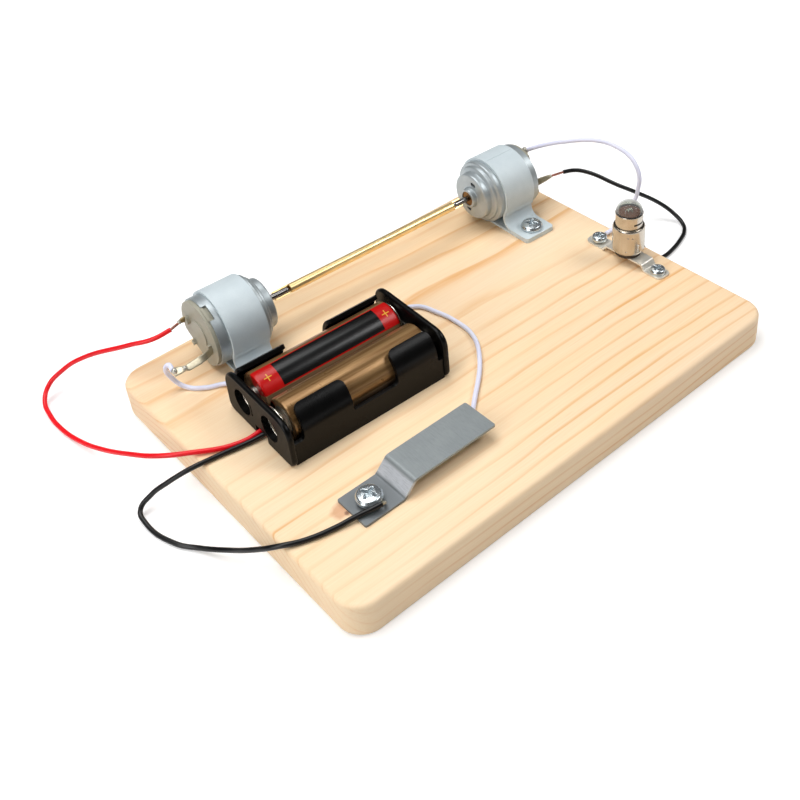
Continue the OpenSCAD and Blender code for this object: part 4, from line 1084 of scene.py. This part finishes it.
def can(name, node, at, clock):
    """The drawn steel can, with its stepped front, its boss, two slots and the rim's window."""
    step, inner_step = CAN_R - 1.2, NOSE_R + 0.9
    outer = rounded([
        (CAN_R, RIM), (CAN_R, SHOULDER), (step, SHOULDER + 0.15), (step - 0.15, SHOULDER + 1.2),
        (inner_step, SHOULDER + 1.4), (NOSE_R, SHOULDER + 1.6), (NOSE_R, FRONT),
        (BOSS_R + 0.2, FRONT), (BOSS_R, BOSS_END), (BUSH_R, BOSS_END),
    ], [0.15, 0.9, 0.3, 0.5, 0.1, 0.4, 0.8, 0.4, 0.5, 0], 6, closed=False)
    inner = [
        (BUSH_R, FRONT - 0.8), (NOSE_R - 0.8, FRONT - 0.8), (NOSE_R - 0.8, SHOULDER),
        (BORE_R, SHOULDER - 0.8), (BORE_R, RIM),
    ]
    piece = make(name, lathe(outer + inner, 128), CAN, at @ turned(clock, "Z"))
    start = WINDOW_TURN - WINDOW_SPAN / 2
    carve(piece, wedge(BORE_R - 1, CAN_R + 1, RIM - 1, RIM + 1.7, start, WINDOW_SPAN))
    slot = prism(oblong((-0.7, -1.2), (0.7, 1.2), 0.68, 5), FRONT - 2, FRONT + 1)
    for a in (0, 180):
        place = turned(SLOT_TURN + a, "Z") @ Matrix.Translation((SLOT_PLACE, 0, 0))
        carve(piece, moved(slot, place))
    soften(piece, 0.1, 50)
    seat(piece, "can_zinc", node)


can("motor_shell", "motor_can", MOTOR, MOTOR_CLOCK)
can("generator_shell", "generator_can", GENERATOR, GENERATOR_CLOCK)
refined("motor_cap", "motor_end_cap", CAP, 0.12, "cap_plastic")
refined("generator_cap", "generator_end_cap", CAP, 0.12, "cap_plastic")
refined("coupling_tube", "drive_tube", BRASS, 0.08, "tube_brass", "rotor")


def strip(name, knots, material, at, node):
    """A bent terminal. Each knot gives a point, the way its face looks, its width and thickness."""
    steps = 8
    faces, shares = [], []
    for a, b in zip(knots, knots[1:]):
        for k in range(steps):
            f = k / steps
            faces.append(Vector(a[1]).lerp(Vector(b[1]), f))
            shares.append([p + (q - p) * f for p, q in zip(a[2:], b[2:])])
    faces.append(Vector(knots[-1][1]))
    shares.append(knots[-1][2:])
    path = smooth_path([k[0] for k in knots], steps)
    piece = make(name, sweep(path, strip_section(1, 1, 0.25), faces, shares), material, at, 50)
    seat(piece, "tinned_strip", node)


def strands(name, start, end):
    """Fine bared wires, twisted together."""
    start, end = Vector(start), Vector(end)
    along = (end - start).normalized()
    side = along.orthogonal().normalized()
    other = along.cross(side)
    count, steps = 5, 12
    lines = []
    for i in range(count):
        line = []
        for k in range(steps + 1):
            f = k / steps
            a = 2 * math.pi * (i / count + 1.1 * f)
            r = 0.3 * (0.75 + 0.25 * math.sin(math.pi * f))
            line.append(start.lerp(end, f) + (side * math.cos(a) + other * math.sin(a)) * r)
        lines.append(line)
    piece = thread(name, lines[0], 0.17, STRANDS, sides=2, more=lines[1:])
    seat(piece, "copper", "bared_ends")


def blob(name, centre, radius, squash, at=ROOM):
    piece = make(name, ball(radius, centre, squash, 0.05), SOLDER, at, 80)
    seat(piece, "solder", "solder_joints")


def terminals():
    radial = (0.95, 0.3, 0)
    strip("motor_tab", [
        ((7.15, 2.25, 0.4), radial, 2.3, 0.4), ((7.15, 2.3, -0.9), radial, 2.7, 0.4),
        ((7.1, 2.4, -1.9), (1, 0.1, 0), 2.0, 0.7), ((7.05, 2.2, -3.0), (1, 0, 0), 0.9, 0.9),
    ], TARNISHED, MOTOR, "motor_terminals")
    flat = (-0.72, 0.68, 0.14)
    strip("motor_strip", [
        ((-7.15, -2.25, 0.4), (-0.95, 0, 0), 2.2, 0.4),
        ((-7.3, -2.3, -0.7), (-0.95, 0.2, 0), 2.2, 0.4),
        ((-8.0, -2.35, -2.4), (-0.9, 0.3, 0.1), 2.3, 0.4), ((-8.7, -2.3, -5.5), flat, 2.4, 0.4),
        ((-9.3, -2.15, -9.4), flat, 2.2, 0.4), ((-9.4, -1.9, -10.6), flat, 1.3, 0.6),
        ((-9.45, -1.5, -12.2), (-0.65, 0.7, 0.25), 2.3, 0.5),
        ((-9.45, -1.0, -14.6), (-0.6, 0.72, 0.3), 3.0, 0.5),
    ], TINNED, MOTOR, "motor_terminals")
    strip("generator_tab", [
        ((-1.17, 7.41, 0.4), (0, 1, 0), 2.2, 0.4), ((-1.17, 7.45, -1.5), (0, 1, 0), 2.5, 0.4),
        ((-1.1, 7.2, -3.0), (0, 1, -0.1), 3.2, 0.5), ((-0.95, 6.9, -4.6), (0, 1, -0.2), 2.2, 0.9),
    ], TARNISHED, GENERATOR, "generator_terminals")
    facing = (-0.62, -0.6, -0.5)
    strip("generator_strip", [
        ((1.17, -7.42, 0.4), (0.16, -1, 0), 2.2, 0.4),
        ((1.25, -7.4, -1.4), (0.16, -1, 0), 2.2, 0.4),
        ((2.4, -6.5, -2.6), (-0.3, -0.9, -0.3), 2.2, 0.4), ((5.6, -3.6, -4.4), facing, 2.4, 0.5),
        ((7.4, -2.2, -6.2), facing, 2.0, 0.8), ((8.7, -1.2, -7.7), facing, 1.3, 1.0),
    ], TINNED, GENERATOR, "generator_terminals")
    blob("motor_tab_solder", (7.05, 2.2, -3.0), 0.7, 0.85, MOTOR)
    blob("motor_strip_solder", (-9.4, -1.8, -10.8), 0.95, 0.9, MOTOR)
    blob("motor_wire_solder", (-9.35, -0.9, -14.1), 1.15, 0.8, MOTOR)
    blob("generator_tab_solder", (-0.95, 7.2, -3.9), 1.45, 0.75, GENERATOR)
    blob("generator_strip_solder", (8.75, -1.15, -7.7), 0.6, 0.9, GENERATOR)
    blob("lamp_tag_solder", BLACK_LAMP_ROUTE[-1], 0.9, 0.7)
    strands("red_strands", (-62.8, 54, 26.8), RED_ROUTE[0])
    strands("black_strands", (82, 33, 23.5), BLACK_LAMP_ROUTE[0])
    down = [BLACK_SWITCH_ROUTE[-1]]
    down += [(-56.9, -40.6, 14.5), (-56.6, -39.8, 13.6), (-57.1, -38.6, 13.3)]
    for name, centre, z, shank, bare, turn, lead in (
        ("switch_loop", (-58.6, -35.7), BOARD_T + LEVER_T, 3.2, 0.9, -60, down),
        ("contact_loop", (-23, -35.7), BOARD_T, 3.2, 0.9, 35, WHITE_SWITCH_ROUTE[-1:]),
        ("lamp_loop", (LAMP_X, LAMP_Y + 13.3), BOARD_T + 0.6, 2.2, 0.7, 10, WHITE_LAMP_ROUTE[-1:]),
    ):
        r = shank / 2 + 0.15 + bare / 2
        loop = [(*p, z + bare / 2 + 0.05) for p in arc(r, turn, turn + 290, 30, centre)]
        piece = thread(name, lead + loop, bare / 2, TINNED, smooth=False)
        seat(piece, "copper", "bared_ends")


# Battery holder, cells and springs

HOLDER_L = 58.0
PLATE_T = 2.0
BAY = HOLDER_L / 2 - PLATE_T
CELL_PITCH = 15.0
CELL_Z = 9.2
CELL_R = CELL_D / 2
CELL_L = 50.5
NUB_R = 2.75
SPRING_WIRE = 0.6
PLATE_HALF = 17.9
WALL_T = 1.5
WALL_MID = 8.75
SILL = 7.9
HOLE_R = 4.35
HOLE_Z = 8.4
HOLE_SHIFT = 0.6


def end_plate(name, x, height, radii):
    outline = oblong((-PLATE_HALF, 0), (PLATE_HALF, height), radii, 8)
    plate = make(name, along_x(prism(outline, x, x + PLATE_T)), HOLDER_BLACK, HOLDER)
    return eased(plate, 0.75)


def wall_place(height):
    """Where the wall's middle is at that height along it, and the way out of it."""
    if height <= CELL_Z:
        return Vector((CELL_PITCH / 2 + WALL_MID, height)), Vector((1, 0))
    out = polar(1, math.degrees((height - CELL_Z) / WALL_MID))
    return Vector((CELL_PITCH / 2, CELL_Z)) + out * WALL_MID, out


def holder():
    """End plates with their holes, a tray, and a wall on each side with two clips that close in."""
    left_end = -HOLDER_L / 2
    body = end_plate("battery_tray", left_end, 15.8, [3, 3, 6.5, 6.5])
    for side in (-1, 1):
        hole = circle(HOLE_R, (side * CELL_PITCH / 2 + HOLE_SHIFT, HOLE_Z), 48)
        carve(body, along_x(prism(hole, left_end - 1, -BAY + 1)))
    centre = (CELL_PITCH / 2 + HOLE_SHIFT, HOLE_Z)
    groove = arc(5.65, 153, 202, 12, centre) + arc(5.05, 200, 155, 12, centre)
    carve(body, along_x(prism(groove, left_end - 1, left_end + 0.7)))
    weld(body, end_plate("plate", BAY, 17, [3, 3, 6, 6]))
    end = BAY + 0.2
    half = 15.9
    for name, low, high, bottom, top in (
        ("tray", (-end, -half), (end, half), 0, 1.5), ("rib", (-21, -0.7), (21, 0.7), 1.3, 4.3)
    ):
        weld(body, make(name, prism(oblong(low, high), bottom, top), HOLDER_BLACK, HOLDER))
    top = CELL_Z + WALL_MID * math.radians(62)
    rows = [CELL_Z + (top - CELL_Z) * k / 12 for k in range(12)]
    for side, clips in ((1, ((-26.2, -9.7), (5.8, 25))), (-1, ((-23.3, -6.1), (10.1, 25.2)))):
        points = [(-end, 0), (end, 0), (end, SILL)]
        radii = [0, 0, 0]
        for low, high in reversed(clips):
            points += [(high, SILL), (high, top), (low, top), (low, SILL)]
            radii += [0.8, 2.6, 2.6, 1.6]
        outline = rounded(points + [(-end, SILL)], radii + [0], 6)
        sheet = bent_sheet(outline, rows, wall_place, WALL_T)
        wall = make("wall", moved(sheet, Matrix.Diagonal((1, side, 1))), HOLDER_BLACK, HOLDER)
        weld(body, eased(wall, 0.3, 2))
    carve(body, prism(oblong((left_end - 1, -4.4), (-BAY + 6, 2.2)), -1, 3.7))
    keep_flats(body)
    # The outer end faces take the lighter copy of the plastic: painted light.
    body.data.materials.append(HOLDER_PAINTED_LIGHT_FACE)
    for face in body.data.polygons:
        if abs(face.normal.x) > 0.99 and abs(face.center.x) > (HOLDER_L / 2 - 0.01) * MM:
            face.material_index = 1
    seat(body, "holder_plastic", "battery_holder")


holder()


def cell(name, node, material, side, nub_left):
    """A cell with its jacket rolled over both ends, standing along its own Z."""
    low, high = reach(node, HOLDER_ORIGIN, HOLDER.to_3x3().col[0])
    body = CELL_L - 1.0
    jacket_profile = rounded([
        (6.1, 0.25), (6.6, 0.0), (CELL_R - 0.15, 0.1), (CELL_R, 0.7), (CELL_R, body - 0.7),
        (CELL_R - 0.2, body - 0.05), (6.4, body), (3.4, body - 0.15),
    ], 0.3, 4, closed=False)
    end, turn = (high, -90) if nub_left else (low, 90)
    at = HOLDER @ Matrix.Translation(Vector((end, side * CELL_PITCH / 2, CELL_Z)) * MM)
    at = at @ turned(turn, "Y")
    tube = lathe([(0, 0.25)] + jacket_profile + [(0, body - 0.35)], closed=False)
    seat(make(name, tube, material, at), "cell_jacket", node)
    caps = join(
        lathe(rounded([
            (0, -0.02), (3.9, -0.02), (4.5, 0.05), (4.8, 0.35), (6.0, 0.35), (6.0, 0.6), (0, 0.6),
        ], [0, 0.1, 0.3, 0.2, 0, 0, 0], 3), 64),
        lathe([(0, body - 0.6)] + rounded([
            (NUB_R + 0.25, body - 0.6), (NUB_R, body), (NUB_R, CELL_L), (0, CELL_L),
        ], [0.15, 0.2, 0.35, 0], 4, closed=False), 64, closed=False),
    )
    seat(make(name + "_ends", caps, CELL_END, at), "spring_nickel", node)


cell("back_cell", "back_battery", BACK_JACKET, 1, True)
cell("front_cell", "front_battery", FRONT_JACKET, -1, False)


def coil(name, radii, x0, x1, turns, side, node):
    """A conical coil of spring wire about the cell's axis."""
    count = int(turns * 24)
    points = []
    for i in range(count + 1):
        share = i / count
        out = polar(radii[0] + (radii[1] - radii[0]) * share, -90 + 360 * turns * share)
        middle = Vector((side * CELL_PITCH / 2, CELL_Z))
        points.append((x0 + (x1 - x0) * share, *(middle + out)))
    piece = thread(name, points, SPRING_WIRE / 2, SPRING, HOLDER, smooth=False)
    seat(piece, "spring_nickel", node)


def springs():
    x = HOLDER.to_3x3().col[0]
    back_low, back_high = reach("back_battery", HOLDER_ORIGIN, x)
    front_low, front_high = reach("front_battery", HOLDER_ORIGIN, x)
    wire_r = SPRING_WIRE / 2
    link_t = 0.3
    off = wire_r + 0.05
    wide, narrow = (5.8, 2.4), (4.7, 2.0)
    left, right = -BAY + wire_r, BAY - link_t - wire_r
    coil("back_spring", wide, right, back_high + off, 3.5, 1, "battery_springs")
    coil("front_spring", wide, left, front_low - off, 3.5, -1, "battery_springs")
    coil("back_spiral", narrow, left, back_low - off, 2.5, 1, "battery_spirals")
    coil("front_spiral", narrow, right, front_high + off, 2.5, -1, "battery_spirals")
    bend = ((0.1, 3.3), (-0.6, 2.1), (-1.6, 1.3), (-2.8, 0.9), (-3.7, 0.6))
    for name, y in (("front_tail", -CELL_PITCH / 2), ("back_tail", CELL_PITCH / 2)):
        points = [(-BAY + 0.8, y + 0.9, HOLE_Z + 4.3)]
        points += [(-BAY - 0.9, y + HOLE_SHIFT + p[0], HOLE_Z + p[1]) for p in bend]
        piece = thread(name, points, wire_r, SPRING, HOLDER)
        seat(piece, "spring_nickel", "battery_tails")


springs()


# Switch

LEVER_W = 13.0
LEVER_T = 0.8


def switch():
    """One bent strip: its foot lies on the board and its arm stands above it."""
    foot_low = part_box("switch_foot")[0]
    arm_low, arm_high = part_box("switch_arm")
    left, right = foot_low.x / MM, arm_high.x / MM
    low_z, high_z = BOARD_T + LEVER_T / 2, arm_high.z / MM - LEVER_T / 2
    mid_y = (arm_low.y + arm_high.y) / 2 / MM
    near, far = mid_y - LEVER_W / 2, mid_y + LEVER_W / 2
    bend, rise = -51.4, 4.4
    path = rounded(
        [(left, low_z), (bend, low_z), (bend + rise, high_z), (right, high_z)], 1.3, 6, closed=False
    )
    outline = ribbon_outline(dense(path, 1.2), LEVER_T)
    piece = make("switch_strip", along_y(prism(outline, near, far)), LEVER, ROOM)
    carve(piece, prism(oblong((left, near), (right, far), 0.6), 0, 30), "INTERSECT")
    low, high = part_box("switch_screw")
    carve(piece, prism(circle(SCREW_HOLE / 2, (low + high) / 2 / MM), 0, 30))
    soften(piece, 0.1, 40)
    settle(piece)
    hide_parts("switch_foot", "switch_arm")
    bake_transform(piece)


switch()


# Lamp

def lamp():
    low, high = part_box("lamp_bracket")
    half = (high.y - low.y) / 2 / MM
    top = high.z / MM
    t, w = 0.6, 3.0
    left, right = half + 1.2, half + 0.5
    foot_z, top_z = BOARD_T + t / 2, top - t / 2
    path = rounded([
        (-right, foot_z), (-9.6, foot_z), (-8.4, top_z), (7.2, top_z), (9.2, foot_z),
        (left, foot_z),
    ], 0.7, 6, closed=False)
    piece = make("bracket", along_x(prism(ribbon_outline(path, t), -w, w)), NICKEL, LAMP)
    plan = oblong((-w, -right), (w, left), [2, 2, 2.6, 2.6])
    carve(piece, prism(plan, 0, 30), "INTERSECT")
    for y, r in ((-13.3, 1.15), (0, 2.05), (13.3, 1.15)):
        carve(piece, prism(circle(r, (0, y)), 0, 30))
    carve(piece, ball(0.35, (-1.9, -9.2, BOARD_T + 1.5), level=2))
    soften(piece, 0.08, 40)
    seat(piece, "lamp_nickel", "lamp_bracket")


lamp()

SOCKET_LOW = LAMP_LOW.z / MM
SOCKET_HIGH = LAMP_HIGH.z / MM


def socket():
    """The drawn sleeve with a rolled lip and a rounded foot."""
    r, wall, mouth, hole = 5.55, 0.35, 4.85, 2.05
    bore = r - wall
    foot, h = SOCKET_LOW, SOCKET_HIGH
    low, high = foot + 0.8, h - 0.5
    profile = [Vector((hole, foot))] + arc(1.0, -90, 0, 6, (r - 1.0, foot + 1.0))
    profile += [(r, low + (high - low) * k / 10) for k in range(1, 11)]
    profile += rounded([
        (r, h - 0.1), (r - 0.25, h + 0.35), (mouth + 0.3, h + 0.5), (mouth, h + 0.1),
        (bore, h - 0.5), (bore, foot + wall), (hole, foot + wall),
    ], [0.15, 0.2, 0.1, 0.1, 0.3, 0.4, 0], 4, closed=False)
    piece = make("lamp_sleeve", lathe(profile), SOCKET, LAMP)
    for turn, z in ((219, 7.7), (235, 7.5), (213, 2.0)):
        carve(piece, ball(0.3, (*polar(r, turn), foot + z), level=2))
    carve(piece, wedge(r - 0.2, r + 0.3, foot + 1.2, foot + 4.6, 250, 14))
    tab = make("tab", wedge(r - 0.3, r + 0.15, foot + 1.1, foot + 4.2, 252.5, 9), SOCKET, LAMP)
    weld(piece, eased(tab, 0.08, 2))
    seat(piece, "socket_nickel", "lamp_socket")


socket()


def bulb_shell(low, high):
    """The screw cap, with a rolled thread, a rim, an open foot and a slot in its side, with a dark
    strip of painted shade behind it.
    """
    r, pitch, groove, sides, steps = 4.68, 1.814, 0.28, 96, 90
    plain_rim, slot_z, slot_deep = 4.6, high - 3.0, 0.22
    rings = []
    for i in range(steps + 1):
        z = low + (high - low) * i / steps
        fade = min(1.0, max(0.0, (high - plain_rim - z) / 0.8)) * min(1.0, (z - low) / 0.6)
        edge = min(1.0, (z - low) / 0.5)
        rim = max(0.0, (z - high + 0.5) / 0.5)
        plain = r - 0.3 * (1 - math.sqrt(1 - (1 - edge) ** 2)) + 0.12 * math.sin(math.pi * rim)
        ring = []
        for k in range(sides):
            phase = ((z - low) / pitch - k / sides) % 1.0
            dip = groove * fade * math.exp(-((phase - 0.5) / 0.16) ** 2)
            ring.append((*polar(plain - dip, 360 * k / sides), z))
        rings.append(ring)
    for radius, z in ((r - 0.55, high), (r - 0.55, low + 0.5), (3.95, low)):
        rings.append([(p.x, p.y, z) for p in circle(radius, sides=sides)])
    cap = make("bulb_shell", skin(rings + rings[:1], False), SOCKET, LAMP, 60)
    out = [p.to_3d() for p in arc(1, -118, -52, 11)]
    line = [p * r + Vector((0, 0, slot_z)) for p in out]
    carve(cap, sweep(line, strip_section(0.75, 0.5, 0.05), out))
    seat(cap, "socket_nickel", "bulb_cap", body="bulb")
    # Painted shade: a dark strip set just inside the slot, so the slot reads as a shaded groove.
    line = [p - slot_deep * q for p, q in zip(line, out)]
    groove_shade = make("bulb_cap_slot_painted_shade", sweep(line, strip_section(0.7, 0.2, 0.05), out), VITRITE, LAMP)
    seat(groove_shade, "vitrite", body="bulb")


def bulb_inside(rim, top):
    """The glass with its neck, a dark ring of painted shadow at the rim, the bead and the
    filament's posts.
    """
    deep, wall, neck, r = 6.8, 0.45, 4.05, 4.55
    foot = rim - deep
    turns = [math.radians(90 * k / 12) for k in range(13)]
    dome = [(0, foot), (neck, foot), (neck, rim + 0.05)]
    dome += [
        (r * math.cos(a) ** 0.92, rim + 0.15 + (top - rim - 0.15) * math.sin(a)) for a in turns
    ]
    dome[-1] = (0, top)
    inner = [
        ((r - wall) * math.cos(a) ** 0.92, rim + (top - wall - rim) * math.sin(a))
        for a in reversed(turns)
    ]
    inner[0] = (0, top - wall)
    inner += [(neck - wall, rim - 0.4), (neck - wall, foot + wall), (0, foot + wall)]
    envelope = make("bulb_envelope", lathe(dome + inner), GLASS, LAMP, 60)
    seat(envelope, "bulb_clear", "bulb_glass", body="bulb")
    # Painted shadow: a dark ring where the glass meets the cap's rim.
    seam = lathe(oblong((4.1, rim), (4.62, rim + 0.16), 0.05, 2))
    seat(make("bulb_rim_painted_shadow", seam, VITRITE, LAMP), "vitrite", body="bulb")
    disc = rounded([
        (0, rim - 0.6), (3.85, rim - 0.6), (3.9, rim - 0.1), (2.6, rim + 0.25), (0, rim + 0.5),
    ], [0, 0.1, 0.2, 0.5, 0], closed=False)
    bead = make("bulb_bead", lathe(disc, 64, False), BEAD, LAMP)
    seat(bead, "bulb_clear", body="bulb")
    spokes = []
    for turn, far in ((20, 1.5), (80, 1.3), (150, 1.6), (205, 1.5), (262, 1.7), (320, 1.5)):
        x, y = polar(far, turn)
        spokes.append([(0, 0, rim + 1.2), (x * 0.5, y * 0.5, rim + 0.95), (x, y, rim + 0.45)])
    posts = thread("filament_posts", spokes[0], 0.13, TUNGSTEN, LAMP, more=spokes[1:])
    seat(posts, "filament_wire", body="bulb")


bulb_low, bulb_rim = (corner.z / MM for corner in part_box("bulb_cap"))
bulb_shell(bulb_low, bulb_rim)
bulb_inside(bulb_rim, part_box("bulb_glass")[1].z / MM - 0.3)
terminals()


# CAD nodes that stay in view

for node, material in (
    ("front_bush", BRONZE), ("rear_bush", BRONZE), ("magnets", FERRITE), ("brushes", COPPER),
    ("shaft", SHAFT), ("armature", STACK), ("windings", WINDING), ("commutator", COPPER),
):
    dress("motor_" + node, material)
    dress("generator_" + node, material)
for node, material in (
    ("series_link", SPRING), ("lamp_disc", FIBRE), ("lamp_lower_washer", FIBRE),
    ("lamp_rivets", NICKEL), ("lamp_centre_contact", BRASS), ("lamp_tag", NICKEL),
    ("bulb_insulator", VITRITE), ("bulb_tip", SOLDER), ("bulb_filament", TUNGSTEN),
):
    dress(node, material)
